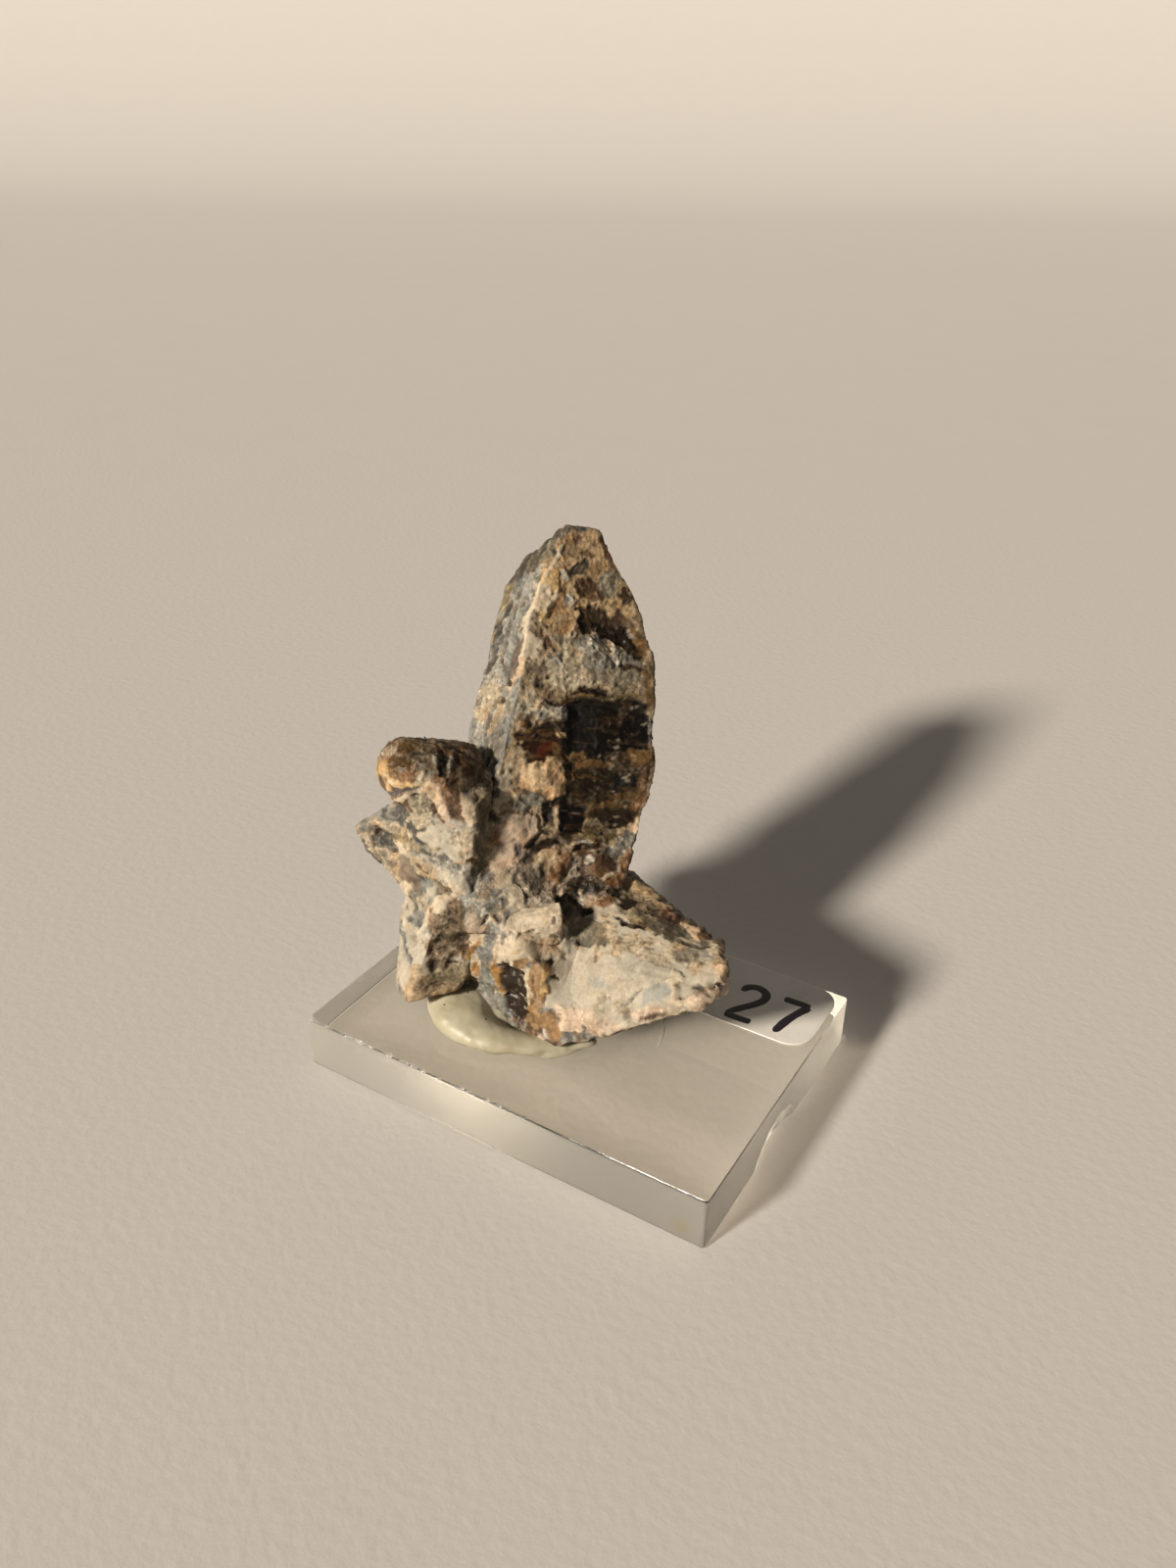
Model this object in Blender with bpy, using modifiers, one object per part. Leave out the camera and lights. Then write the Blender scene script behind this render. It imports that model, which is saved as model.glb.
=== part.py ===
"""Augite crystals grown together, held by putty on a clear acrylic slab with a paper label.

Frame: metres, +Z up. The origin is the centre of the slab's underside, X runs along the slab's
long front edge, Y points away from that edge, and Z goes up through the crystals.
Lengths below are millimetres and angles are degrees; MM turns a length into metres.

A crystal is a block cut by flat faces. Its axis starts at a root point and leans a number of
degrees from the vertical towards a compass direction (0 is +X, 90 is +Y). Each face has
(turn, tilt, distance): the turn of its normal round the axis, its rise towards the axis, and how
far the face lies from the root point.
"""
import itertools
import math
import random

import bmesh
import bpy
import numpy as np
from mathutils import Matrix, Vector

MM = 0.001

# The slab of cast acrylic.
SLAB_LENGTH = 46.0
SLAB_WIDTH = 33.0
SLAB_THICKNESS = 6.0
SLAB_EDGE_BEVEL = 0.25
SLAB_BEVEL_SEGMENTS = 2

# Chips along the slab's top front edge: how many, the span that they lie in, how far each strays
# from even spacing, their radii, and how far a chip's centre lies outside the front face and
# above the top, both as shares of its radius.
CHIP_COUNT = 9
CHIP_SEED = 4
CHIP_SPAN = (-20.0, -1.0)
CHIP_STRAY = 0.3
CHIP_RADII = (0.5, 0.9)
CHIP_OUTSIDE = 0.3
CHIP_ABOVE = 0.45
BALL_SUBDIVISIONS = 2

# The broken top left front corner, bitten by a ball that lies outside it by a share of its size.
BROKEN_CORNER_SIZE = 2.2
BROKEN_CORNER_OUTSIDE = 0.45

# The shell-shaped break in the right end, cut by a large ball just below the slab.
SHELL_BREAK_RADIUS = 16.0
SHELL_BREAK_DEPTH = 0.9
SHELL_BREAK_BACK = -1.0
SHELL_BREAK_SINK = 0.12

# What rests on the slab keeps this gap, and the crystals' print in the putty a little more.
GAP = 0.3
PRINT_MARGIN = 0.1

# Working sizes: the cube that a crystal is cut from, and how close welded vertices lie.
BIG_BLOCK = 120.0
WELD_DISTANCE = 0.001

# The paper label at the slab's back right corner.
LABEL_LENGTH = 20.0
LABEL_WIDTH = 10.4
LABEL_THICKNESS = 0.3
LABEL_CORNER = 2.6
LABEL_CORNER_POINTS = 5
LABEL_CENTRE = (12.4, 11.1)

# The putty's rounded bead, squeezed out in front of the crystals: (x, y, radius) along it. Its
# middle lies a share of the radius above the slab.
PUTTY_BEAD = (
    (-12.2, -4.2, 1.2),
    (-12.3, -6.3, 1.75),
    (-11.2, -8.6, 1.9),
    (-9.1, -10.2, 1.7),
    (-6.7, -10.9, 1.35),
    (-4.2, -10.6, 1.1),
    (-1.6, -9.5, 0.9),
    (0.8, -7.8, 0.7),
    (2.8, -6.1, 0.55),
    (4.8, -4.2, 0.45),
)
BEAD_RISE = 0.75
BEAD_SIDES = 3
# The pad behind the bead, as dabs: (x, y, radius, height above the slab).
PUTTY_DABS = (
    (-7.8, -4.2, 5.2, 2.6),
    (-1.6, -3.8, 5.4, 1.7),
    (-4.6, 1.4, 6.4, 2.2),
    (1.8, 0.6, 4.2, 1.4),
)
DAB_SEGMENTS = 20
DAB_RINGS = 12
PUTTY_VOXEL = 0.4
PUTTY_SMOOTHING = 8
PUTTY_TRIANGLES = 1000

# The lowest that a crystal reaches above the slab's underside.
CRYSTAL_FOOT = 6.45

SURFACE_VOXEL = 0.45
CRYSTAL_TRIANGLES = 7400
RELIEF_SEED = 11

CRYSTALS = {
    "main": {
        "root": (-4.5, 2.5, 17.0), "lean": 36, "toward": 118,
        "faces": {
            "front": (-158, 5, 3.6), "left": (121, 11, 10.2), "right": (-68, -1, 8.8),
            "right_shoulder": (-66, 21, 17.8), "right_peak": (-65, 32, 22.7),
            "right_foot": (-69, -17, 5.1), "back": (24, -2, 7.9), "left_bevel": (116, 34, 22.9),
            "back_left": (72, -4, 10.0), "back_right": (-20, 4, 7.8), "top": (-10, 84, 38.9),
            "foot": (0, -90, 4.0),
        },
    },
    "prong": {
        "root": (-4.0, -1.5, 14.0), "lean": 80, "toward": -1,
        "faces": {
            "front": (-159, 4, 1.7), "lower_front": (-134, -8, -0.2), "keel": (-107, -11, 2.3),
            "upper_front": (174, 11, 5.1), "back": (81, 26, 11.6), "tip_back": (86, 51, 17.2),
            "tip_top": (70, 76, 19.9), "tip_under": (-54, 48, 17.3), "far": (-15, 26, 10.3),
            "under": (-45, -24, 3.0), "inner": (20, -10, 4.7), "heel": (-174, -80, 3.0),
        },
    },
    "lower": {
        "root": (-4.5, -2.5, 17.0), "lean": 148, "toward": -56,
        "faces": {
            "front": (-142, 11, 2.4), "side": (-97, -10, 5.9), "side_foot": (-63, 35, 11.3),
            "toe": (-50, 50, 12.1), "left_foot": (115, 26, 11.7), "left": (74, 14, 11.1),
            "back": (-25, -9, 7.7), "sole": (-71, 78, 12.4), "sole_left": (83, 70, 12.6),
            "sole_back": (0, 58, 10.6), "shoulder": (-150, -22, 2.3), "brow": (170, -24, -0.2),
            "head": (180, -58, -1.0),
        },
    },
    "lower_left": {
        "root": (-6.0, -3.0, 19.0), "lean": 129, "toward": -130,
        "faces": {
            "front": (98, -2, 0.8), "front_foot": (164, 26, 7.2), "left": (-144, 5, 8.1),
            "sole": (20, 73, 14.5), "sole_right": (41, 27, 7.2), "back": (-86, 28, 8.7),
            "inner": (36, -34, -3.0), "brow": (143, -33, 0.9), "head": (-132, -80, 3.0),
        },
    },
    "wedge": {
        "root": (-8.5, -1.0, 20.5), "lean": 80, "toward": -155,
        "faces": {
            "front": (127, 18, 4.4), "front_tip": (76, 38, 8.9), "top": (-135, 40, 11.4),
            "under": (24, 23, 7.1), "back": (-62, -18, 1.9), "upper": (-142, -2, 3.8),
            "back_tip": (-29, 50, 12.6), "keel": (24, -30, 2.4), "heel": (110, -63, -2.5),
        },
    },
    "spur": {
        "root": (-9.0, -2.0, 19.0), "lean": 94, "toward": -150,
        "faces": {
            "front": (137, 11, 3.8), "tip_front": (59, 57, 7.9), "under": (30, 3, 1.1),
            "tip_back": (-130, 52, 7.9), "back": (-89, -20, 0.7), "upper": (-171, -9, 0.5),
            "heel": (83, -60, 0.0),
        },
    },
    "barrel": {
        "root": (-8.5, -1.5, 20.0), "lean": 35, "toward": -169,
        "faces": {
            "front": (100, -1, 3.1), "front_left": (53, 14, 7.6), "left": (-1, 33, 13.2),
            "left_foot": (10, -28, -1.6), "front_foot": (138, -36, -3.8),
            "right_foot": (-168, -44, -4.6), "back": (-116, -17, 2.5),
            "back_left": (-66, 16, 11.3), "crown": (12, 75, 17.7), "crown_front": (108, 65, 16.0),
            "brow": (148, 35, 10.5), "right": (-171, 21, 7.3), "crown_back": (-131, 49, 13.3),
            "crown_right": (177, 54, 13.5), "sole": (-56, -79, 0.8), "sole_left": (49, -34, -2.9),
        },
    },
    "waist": {
        "root": (-7.0, -1.5, 19.0), "lean": 38, "toward": -166,
        "faces": {
            "front": (103, 15, 5.2), "front_left": (52, 35, 10.2), "left": (1, 10, 7.4),
            "right_foot": (170, -32, -1.9), "right_back": (-150, -44, -3.8),
            "back": (-109, -15, 3.6), "sole": (-42, -78, 1.0), "sole_left": (44, -22, 3.1),
            "top": (180, 52, 10.5),
        },
    },
    "core": {
        "root": (-5.0, -1.0, 17.0), "lean": 0, "toward": 0,
        "faces": {
            "front_right": (-65, 35, 5.6), "front_left": (-115, 25, 8.7), "brow": (-20, 50, 2.6),
            "right": (-15, 10, 5.5), "left": (180, 0, 7.0), "back_right": (60, 0, 9.9),
            "back_left": (120, 0, 7.5), "foot": (0, -90, 9.5), "front": (-85, 5, 5.9),
            "under_left": (-140, -20, 9.4), "under_back": (60, -40, 11.0),
            "under_back_left": (150, -35, 7.8), "top_front": (-60, 70, 4.8),
            "top_left": (-150, 40, 11.7), "under_front": (-95, -40, 8.8),
        },
    },
    "knob": {
        "root": (-5.0, -5.6, 17.6), "lean": 78, "toward": 40,
        "faces": {
            "upper_front": (-150, 0, 1.7), "front": (-90, 0, 1.8), "under_front": (-30, 0, 3.4),
            "under_back": (30, 0, 3.4), "back": (90, 0, 1.8), "upper_back": (150, 0, 1.6),
            "end": (0, 80, 5.2), "heel": (0, -90, 1.0),
        },
    },
}

# Lumps (positive) and pits (negative): name, centre, radius, height along the surface normal.
LUMPS = (
    ("hollow under the main crystal", (-0.8, 1.2, 18.9), 2.0, -1.4),
    ("crumbled foot of the main crystal", (-2.2, 2.6, 20.6), 2.2, -0.6),
    ("shelf above the crumbled foot", (-1.6, 5.4, 23.2), 1.8, 0.5),
    ("dark glassy hollow near the top", (-8.6, 20.0, 39.8), 3.2, -0.5),
    ("grey crust", (-8.9, 16.4, 37.2), 2.8, 0.35),
    ("tan blistered patch", (-8.2, 5.2, 28.6), 2.4, 0.3),
    ("pink patch", (-8.5, 0.2, 25.4), 2.2, 0.35),
    ("nick in the right edge", (-0.6, 12.6, 27.0), 1.2, -0.5),
    ("nick in the right shoulder", (-6.2, 22.4, 37.2), 1.3, -0.45),
    ("chipped top", (-12.4, 23.0, 47.6), 1.3, -0.5),
    ("pit in the left face", (-16.6, 10.2, 34.7), 1.0, -0.45),
    ("second pit in the left face", (-17.8, 9.8, 32.6), 1.2, -0.4),
    ("barrel window", (-18.9, -5.9, 32.4), 2.2, -0.35),
    ("barrel collar", (-17.0, -6.4, 29.4), 1.6, 0.3),
    ("hollow of the barrel neck", (-17.2, -6.6, 27.4), 1.5, -0.5),
    ("wedge hollow", (-18.4, -7.0, 22.6), 1.5, -0.35),
    ("hole left of the knob", (-6.4, -6.0, 18.8), 1.1, -0.7),
    ("pit in the lower left crystal", (-14.0, -9.8, 15.3), 0.9, -0.5),
    ("rough hollow of the lower left crystal", (-11.0, -9.6, 14.6), 2.2, -0.4),
    ("cleaved window", (-3.6, -6.4, 10.6), 1.9, -0.5),
    ("brown rib", (-0.4, -7.0, 10.8), 1.7, 0.35),
    ("hood over the cleaved window", (-3.2, -6.7, 16.7), 2.6, 0.8),
    ("filled neck between the barrel and its waist", (-12.3, -4.2, 28.9), 2.8, 0.8),
    ("lump on the prong's tip", (15.2, -4.6, 16.8), 1.5, 0.6),
    ("second lump on the prong's tip", (15.7, -0.4, 18.4), 1.2, 0.35),
    ("pale knob on the prong's tip", (14.1, 2.2, 18.6), 1.3, 0.6),
    ("notch in the prong's tip", (15.9, -2.6, 17.7), 0.9, -0.8),
    ("nick above the tip's notch", (15.2, 1.0, 18.9), 0.8, -0.5),
    ("hollow along the prong's ridge", (9.6, 5.6, 19.6), 2.4, -0.5),
    ("fold in the prong", (8.6, -5.6, 14.4), 1.6, -0.4),
    ("lump under the fold", (5.4, -6.8, 11.4), 2.0, 0.45),
    ("hollow on the prong's back", (1.6, 6.1, 18.2), 1.5, -0.35),
)

# The cleaved panel on the main crystal's front, as spans across the face and along the axis,
# and how far its edges wander.
PANEL_ACROSS = (-9.5, -0.2)
PANEL_ALONG = (6.4, 20.0)
PANEL_DEPTH = 0.4
PANEL_SOFTNESS = 0.6
PANEL_WANDER = 1.1
PANEL_WANDER_ALONG = 0.4
PANEL_WANDER_SIZE = 2.4

# Growth ribs run along the main crystal.
RIB_SPACING = 1.7
RIB_HEIGHT = 0.16

# Skin counts as a face's where it looks the face's way by this cosine, with a soft change, and
# the ribs and the panel begin at this height along the main crystal.
FACING = 0.8
FACING_SOFTNESS = 0.3
RIB_START = 3.0
RIB_START_SOFTNESS = 3.0

# Roughness of all the crystals: (size of the bumps, height).
ROUGHNESS = ((4.0, 0.28), (1.7, 0.14))

# Large whole numbers that scatter a lattice point into a random-looking value.
SCATTER_PRIMES = (73856093, 19349663, 83492791)
SCATTER_SEED_STEP = 2654435761
SCATTER_STIR = 1274126177
SCATTER_MASK = 0x7FFFFFFF
SCATTER_HALF = 32767.5

# Finishes: (colour, roughness, transmission).
FINISHES = {
    "acrylic": ((0.80, 0.78, 0.72), 0.12, 0.9),
    "putty": ((0.66, 0.62, 0.44), 0.4, 0.0),
    "paper": ((0.82, 0.80, 0.76), 0.7, 0.0),
    "crystal": ((0.30, 0.26, 0.20), 0.55, 0.0),
}


def empty_the_file():
    """Remove every object that the file starts with."""
    for old in list(bpy.data.objects):
        bpy.data.objects.remove(old, do_unlink=True)


def collection(name):
    """Make a collection in the scene."""
    made = bpy.data.collections.new(name)
    bpy.context.scene.collection.children.link(made)
    return made


def material(name):
    """Make a Principled BSDF material from the table of finishes."""
    colour, roughness, transmission = FINISHES[name]
    made = bpy.data.materials.new(name)
    made.use_nodes = True
    shader = made.node_tree.nodes["Principled BSDF"]
    shader.inputs["Base Color"].default_value = (*colour, 1.0)
    shader.inputs["Roughness"].default_value = roughness
    shader.inputs["Metallic"].default_value = 0.0
    shader.inputs["Transmission Weight"].default_value = transmission
    return made


def add_object(name, mesh, home):
    """Put a mesh into a collection as a named object."""
    made = bpy.data.objects.new(name, mesh)
    home.objects.link(made)
    return made


def hide_cutter(cutter):
    """Show a cutter as wires and leave it out of renders."""
    cutter.hide_render = True
    cutter.display_type = "WIRE"


def boolean(target, other, operation):
    """Join or cut an object by another with the exact solver."""
    step = target.modifiers.new(f"{operation.lower()} {other.name}", "BOOLEAN")
    step.operation = operation
    step.solver = "EXACT"
    step.object = other
    return step


def evaluated_mesh(thing):
    """A copy of an object's mesh with its modifiers applied."""
    bpy.context.view_layer.update()
    depsgraph = bpy.context.evaluated_depsgraph_get()
    return bpy.data.meshes.new_from_object(thing.evaluated_get(depsgraph))


def vertex_positions(mesh):
    """All vertex positions as one array, in millimetres."""
    flat = np.empty(len(mesh.vertices) * 3)
    mesh.vertices.foreach_get("co", flat)
    return flat.reshape(-1, 3) / MM


def vertex_normals(mesh):
    """All vertex normals as one array."""
    flat = np.empty(len(mesh.vertices) * 3)
    mesh.vertices.foreach_get("normal", flat)
    return flat.reshape(-1, 3)


def crystal_axes(lean, toward):
    """The crystal's own X, Y and Z directions; Z is its axis."""
    tip = math.radians(lean)
    compass = math.radians(toward)
    across = (math.cos(tip) * math.cos(compass), math.cos(tip) * math.sin(compass), -math.sin(tip))
    side = (-math.sin(compass), math.cos(compass), 0.0)
    along = (math.sin(tip) * math.cos(compass), math.sin(tip) * math.sin(compass), math.cos(tip))
    return np.array((across, side, along))


def face_normal(axes, turn, tilt):
    """The outward normal of a face from its turn round the axis and its rise towards it."""
    round_axis = math.radians(turn)
    rise = math.radians(tilt)
    own = np.array((
        math.cos(rise) * math.cos(round_axis),
        math.cos(rise) * math.sin(round_axis),
        math.sin(rise),
    ))
    return own @ axes


def crystal_block(name, crystal, home):
    """A big cube cut down to a crystal by each of its faces."""
    block = bmesh.new()
    root = Vector(crystal["root"]) * MM
    bmesh.ops.create_cube(block, size=BIG_BLOCK * MM, matrix=Matrix.Translation(root))
    axes = crystal_axes(crystal["lean"], crystal["toward"])
    for turn, tilt, distance in crystal["faces"].values():
        normal = Vector(face_normal(axes, turn, tilt))
        cut = bmesh.ops.bisect_plane(
            block,
            geom=block.verts[:] + block.edges[:] + block.faces[:],
            dist=WELD_DISTANCE * MM,
            plane_co=root + normal * distance * MM,
            plane_no=normal,
            clear_outer=True,
        )
        rim = [part for part in cut["geom_cut"] if isinstance(part, bmesh.types.BMEdge)]
        bmesh.ops.holes_fill(block, edges=rim)
    bmesh.ops.recalc_face_normals(block, faces=block.faces[:])
    mesh = bpy.data.meshes.new(name)
    block.to_mesh(mesh)
    block.free()
    return add_object(name, mesh, home)


def smooth_noise(points, seed):
    """Noise from -1 to 1: random values on a unit lattice, blended smoothly between them."""
    cell = np.floor(points).astype(np.int64)
    part = points - cell
    blend = part * part * (3.0 - 2.0 * part)
    total = np.zeros(len(points))
    for corner in itertools.product((0, 1), repeat=3):
        lattice = cell + corner
        mixed = np.bitwise_xor.reduce(lattice * np.array(SCATTER_PRIMES), axis=1)
        mixed = (mixed + seed * SCATTER_SEED_STEP) & SCATTER_MASK
        mixed = (mixed ^ (mixed >> 13)) * SCATTER_STIR & SCATTER_MASK
        value = ((mixed >> 8) & 0xFFFF) / SCATTER_HALF - 1.0
        total += value * np.prod(np.where(corner, blend, 1.0 - blend), axis=1)
    return total


def soft_step(values, edge, softness):
    """0 below an edge and 1 above it, with a smooth ramp between."""
    ramp = np.clip((values - edge) / softness + 0.5, 0.0, 1.0)
    return ramp * ramp * (3.0 - 2.0 * ramp)


def soft_span(values, span, softness):
    """1 inside a span and 0 outside it, with smooth ends."""
    return soft_step(values, span[0], softness) * (1.0 - soft_step(values, span[1], softness))


def lump_relief(points):
    """The height of the named lumps and pits: a smooth dome round each centre."""
    relief = np.zeros(len(points))
    for _name, centre, radius, height in LUMPS:
        reach = np.linalg.norm(points - np.array(centre), axis=1) / radius
        relief += height * np.clip(1.0 - reach ** 2, 0.0, 1.0) ** 2
    return relief


def main_relief(points, normals):
    """The main crystal's growth ribs and the cleaved panel on its front face."""
    main = CRYSTALS["main"]
    axes = crystal_axes(main["lean"], main["toward"])
    own = (points - np.array(main["root"])) @ axes.T
    front = face_normal(axes, *main["faces"]["front"][:2])
    left = face_normal(axes, *main["faces"]["left"][:2])
    faces_front = soft_step(normals @ front, FACING, FACING_SOFTNESS)
    faces_left = soft_step(normals @ left, FACING, FACING_SOFTNESS)
    near_main = soft_step(own[:, 2], RIB_START, RIB_START_SOFTNESS)
    wander = PANEL_WANDER * smooth_noise(points / PANEL_WANDER_SIZE, RELIEF_SEED + len(ROUGHNESS))
    on_panel = soft_span(own[:, 1] + wander, PANEL_ACROSS, PANEL_SOFTNESS)
    along = own[:, 2] + PANEL_WANDER_ALONG * wander
    on_panel *= soft_span(along, PANEL_ALONG, PANEL_SOFTNESS)
    ribs = np.sin(2.0 * math.pi * own[:, 0] / RIB_SPACING)
    return near_main * (faces_left * RIB_HEIGHT * ribs - faces_front * on_panel * PANEL_DEPTH)


def weld(mesh):
    """Join vertices that lie in one place, such as those of a curve's caps."""
    form = bmesh.new()
    form.from_mesh(mesh)
    bmesh.ops.remove_doubles(form, verts=form.verts[:], dist=WELD_DISTANCE * MM)
    form.to_mesh(mesh)
    form.free()


def big_block(name, top, home):
    """A cutter that takes away everything below a height."""
    form = bmesh.new()
    middle = Vector((0.0, 0.0, top - BIG_BLOCK / 2)) * MM
    bmesh.ops.create_cube(form, size=BIG_BLOCK * MM, matrix=Matrix.Translation(middle))
    mesh = bpy.data.meshes.new(name)
    form.to_mesh(mesh)
    form.free()
    block = add_object(name, mesh, home)
    hide_cutter(block)
    return block


def thin_out(thing, triangles):
    """Add a Decimate modifier that leaves about this many triangles."""
    whole = evaluated_mesh(thing)
    whole.calc_loop_triangles()
    thin = thing.modifiers.new("fewer triangles", "DECIMATE")
    thin.ratio = triangles / len(whole.loop_triangles)
    bpy.data.meshes.remove(whole)


def roughen(mesh):
    """Move every vertex along its normal by the lumps, the ribs and the roughness."""
    points = vertex_positions(mesh)
    normals = vertex_normals(mesh)
    relief = lump_relief(points) + main_relief(points, normals)
    for layer, (size, height) in enumerate(ROUGHNESS):
        relief += height * smooth_noise(points / size, RELIEF_SEED + layer)
    moved = points + normals * relief[:, None]
    moved[:, 2] = np.maximum(moved[:, 2], CRYSTAL_FOOT)
    mesh.vertices.foreach_set("co", (moved * MM).ravel())
    mesh.update()


def crystal_cluster(home, blocks_home):
    """Join the crystals into one solid, roughen its skin and thin its triangles."""
    blocks = [crystal_block(name, crystal, blocks_home) for name, crystal in CRYSTALS.items()]
    joined = blocks[0]
    for other in blocks[1:]:
        boolean(joined, other, "UNION")
    foot_cutter = big_block("foot cutter", CRYSTAL_FOOT, blocks_home)
    boolean(joined, foot_cutter, "DIFFERENCE")
    skin = joined.modifiers.new("even skin", "REMESH")
    skin.mode = "VOXEL"
    skin.voxel_size = SURFACE_VOXEL * MM
    mesh = evaluated_mesh(joined)
    for block in [*blocks, foot_cutter]:
        bpy.data.objects.remove(block, do_unlink=True)
    mesh.name = "crystal_cluster"
    roughen(mesh)
    cluster = add_object("crystal_cluster", mesh, home)
    thin_out(cluster, CRYSTAL_TRIANGLES)
    mesh.materials.clear()
    mesh.materials.append(material("crystal"))
    return cluster


def rounded_block(name, size, middle, bevel, home):
    """A box with its edges rounded."""
    form = bmesh.new()
    shape = Matrix.Translation(Vector(middle) * MM) @ Matrix.Diagonal((*(Vector(size) * MM), 1.0))
    bmesh.ops.create_cube(form, size=1.0, matrix=shape)
    mesh = bpy.data.meshes.new(name)
    form.to_mesh(mesh)
    form.free()
    block = add_object(name, mesh, home)
    rounding = block.modifiers.new("rounded edges", "BEVEL")
    rounding.width = bevel * MM
    rounding.segments = SLAB_BEVEL_SEGMENTS
    return block


def chip_cutter(name, places, home):
    """Rough balls that bite chips out of an edge, each given as centre and radius."""
    form = bmesh.new()
    for centre, radius in places:
        place = Matrix.Translation(Vector(centre) * MM)
        bmesh.ops.create_icosphere(
            form, subdivisions=BALL_SUBDIVISIONS, radius=radius * MM, matrix=place)
    mesh = bpy.data.meshes.new(name)
    form.to_mesh(mesh)
    form.free()
    cutter = add_object(name, mesh, home)
    hide_cutter(cutter)
    return cutter


def edge_chips():
    """Where balls bite the slab: along the top front edge and at one corner."""
    chance = random.Random(CHIP_SEED)
    front = -SLAB_WIDTH / 2
    first, last = CHIP_SPAN
    bites = []
    for number in range(CHIP_COUNT):
        place = (number + chance.uniform(-CHIP_STRAY, CHIP_STRAY)) / (CHIP_COUNT - 1)
        along = first + (last - first) * place
        radius = chance.uniform(*CHIP_RADII)
        centre = (along, front - CHIP_OUTSIDE * radius, SLAB_THICKNESS + CHIP_ABOVE * radius)
        bites.append((centre, radius))
    out = BROKEN_CORNER_SIZE * BROKEN_CORNER_OUTSIDE
    corner = (-SLAB_LENGTH / 2 - out, front - out, SLAB_THICKNESS + out)
    bites.append((corner, BROKEN_CORNER_SIZE))
    return bites


def acrylic_base(home, cutters):
    """The slab, with small chips, a broken corner and a shell-shaped break in its right end."""
    size = (SLAB_LENGTH, SLAB_WIDTH, SLAB_THICKNESS)
    slab = rounded_block("acrylic_base", size, (0.0, 0.0, SLAB_THICKNESS / 2), SLAB_EDGE_BEVEL, home)
    boolean(slab, chip_cutter("edge chips", edge_chips(), cutters), "DIFFERENCE")
    beyond = SLAB_LENGTH / 2 + SHELL_BREAK_RADIUS - SHELL_BREAK_DEPTH
    hollow = (beyond, SHELL_BREAK_BACK, -SHELL_BREAK_RADIUS * SHELL_BREAK_SINK)
    boolean(slab, chip_cutter("shell break", [(hollow, SHELL_BREAK_RADIUS)], cutters), "DIFFERENCE")
    slab.data.materials.append(material("acrylic"))
    return slab


def paper_label(home):
    """A thin sticker with round corners, lying on the slab."""
    outline = bpy.data.curves.new("label", "CURVE")
    outline.dimensions = "2D"
    outline.fill_mode = "BOTH"
    outline.extrude = LABEL_THICKNESS / 2 * MM
    path = outline.splines.new("POLY")
    corners = ((1, 1, 0), (-1, 1, 90), (-1, -1, 180), (1, -1, 270))
    points = []
    for side_x, side_y, start in corners:
        centre_x = LABEL_CENTRE[0] + side_x * (LABEL_LENGTH / 2 - LABEL_CORNER)
        centre_y = LABEL_CENTRE[1] + side_y * (LABEL_WIDTH / 2 - LABEL_CORNER)
        for step in range(LABEL_CORNER_POINTS):
            angle = math.radians(start + 90 * step / (LABEL_CORNER_POINTS - 1))
            points.append((centre_x + LABEL_CORNER * math.cos(angle),
                           centre_y + LABEL_CORNER * math.sin(angle)))
    path.points.add(len(points) - 1)
    for place, (across, back) in zip(path.points, points):
        place.co = (across * MM, back * MM, 0.0, 1.0)
    path.use_cyclic_u = True
    middle = SLAB_THICKNESS + GAP + LABEL_THICKNESS / 2
    drawn = add_object("label outline", outline, home)
    mesh = evaluated_mesh(drawn)
    bpy.data.objects.remove(drawn, do_unlink=True)
    weld(mesh)
    label = add_object("label", mesh, home)
    label.location = (0.0, 0.0, middle * MM)
    mesh.materials.append(material("paper"))
    return label


def putty_bead(home):
    """The rounded bead as a tube along its own curve, made a mesh with closed ends."""
    curve = bpy.data.curves.new("bead", "CURVE")
    curve.dimensions = "3D"
    curve.bevel_depth = MM
    curve.bevel_resolution = BEAD_SIDES
    curve.use_fill_caps = True
    path = curve.splines.new("POLY")
    path.points.add(len(PUTTY_BEAD) - 1)
    for place, (across, back, radius) in zip(path.points, PUTTY_BEAD):
        height = SLAB_THICKNESS + GAP + BEAD_RISE * radius
        place.co = (across * MM, back * MM, height * MM, 1.0)
        place.radius = radius
    drawn = add_object("bead curve", curve, home)
    mesh = evaluated_mesh(drawn)
    bpy.data.objects.remove(drawn, do_unlink=True)
    weld(mesh)
    return add_object("bead", mesh, home)


def putty_dab(name, across, back, radius, height, home):
    """A flattened ball of putty."""
    form = bmesh.new()
    shape = Matrix.Translation(Vector((across, back, SLAB_THICKNESS + GAP)) * MM)
    shape @= Matrix.Diagonal((radius * MM, radius * MM, height * MM, 1.0))
    bmesh.ops.create_uvsphere(
        form, u_segments=DAB_SEGMENTS, v_segments=DAB_RINGS, radius=1.0, matrix=shape)
    mesh = bpy.data.meshes.new(name)
    form.to_mesh(mesh)
    form.free()
    return add_object(name, mesh, home)


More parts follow.
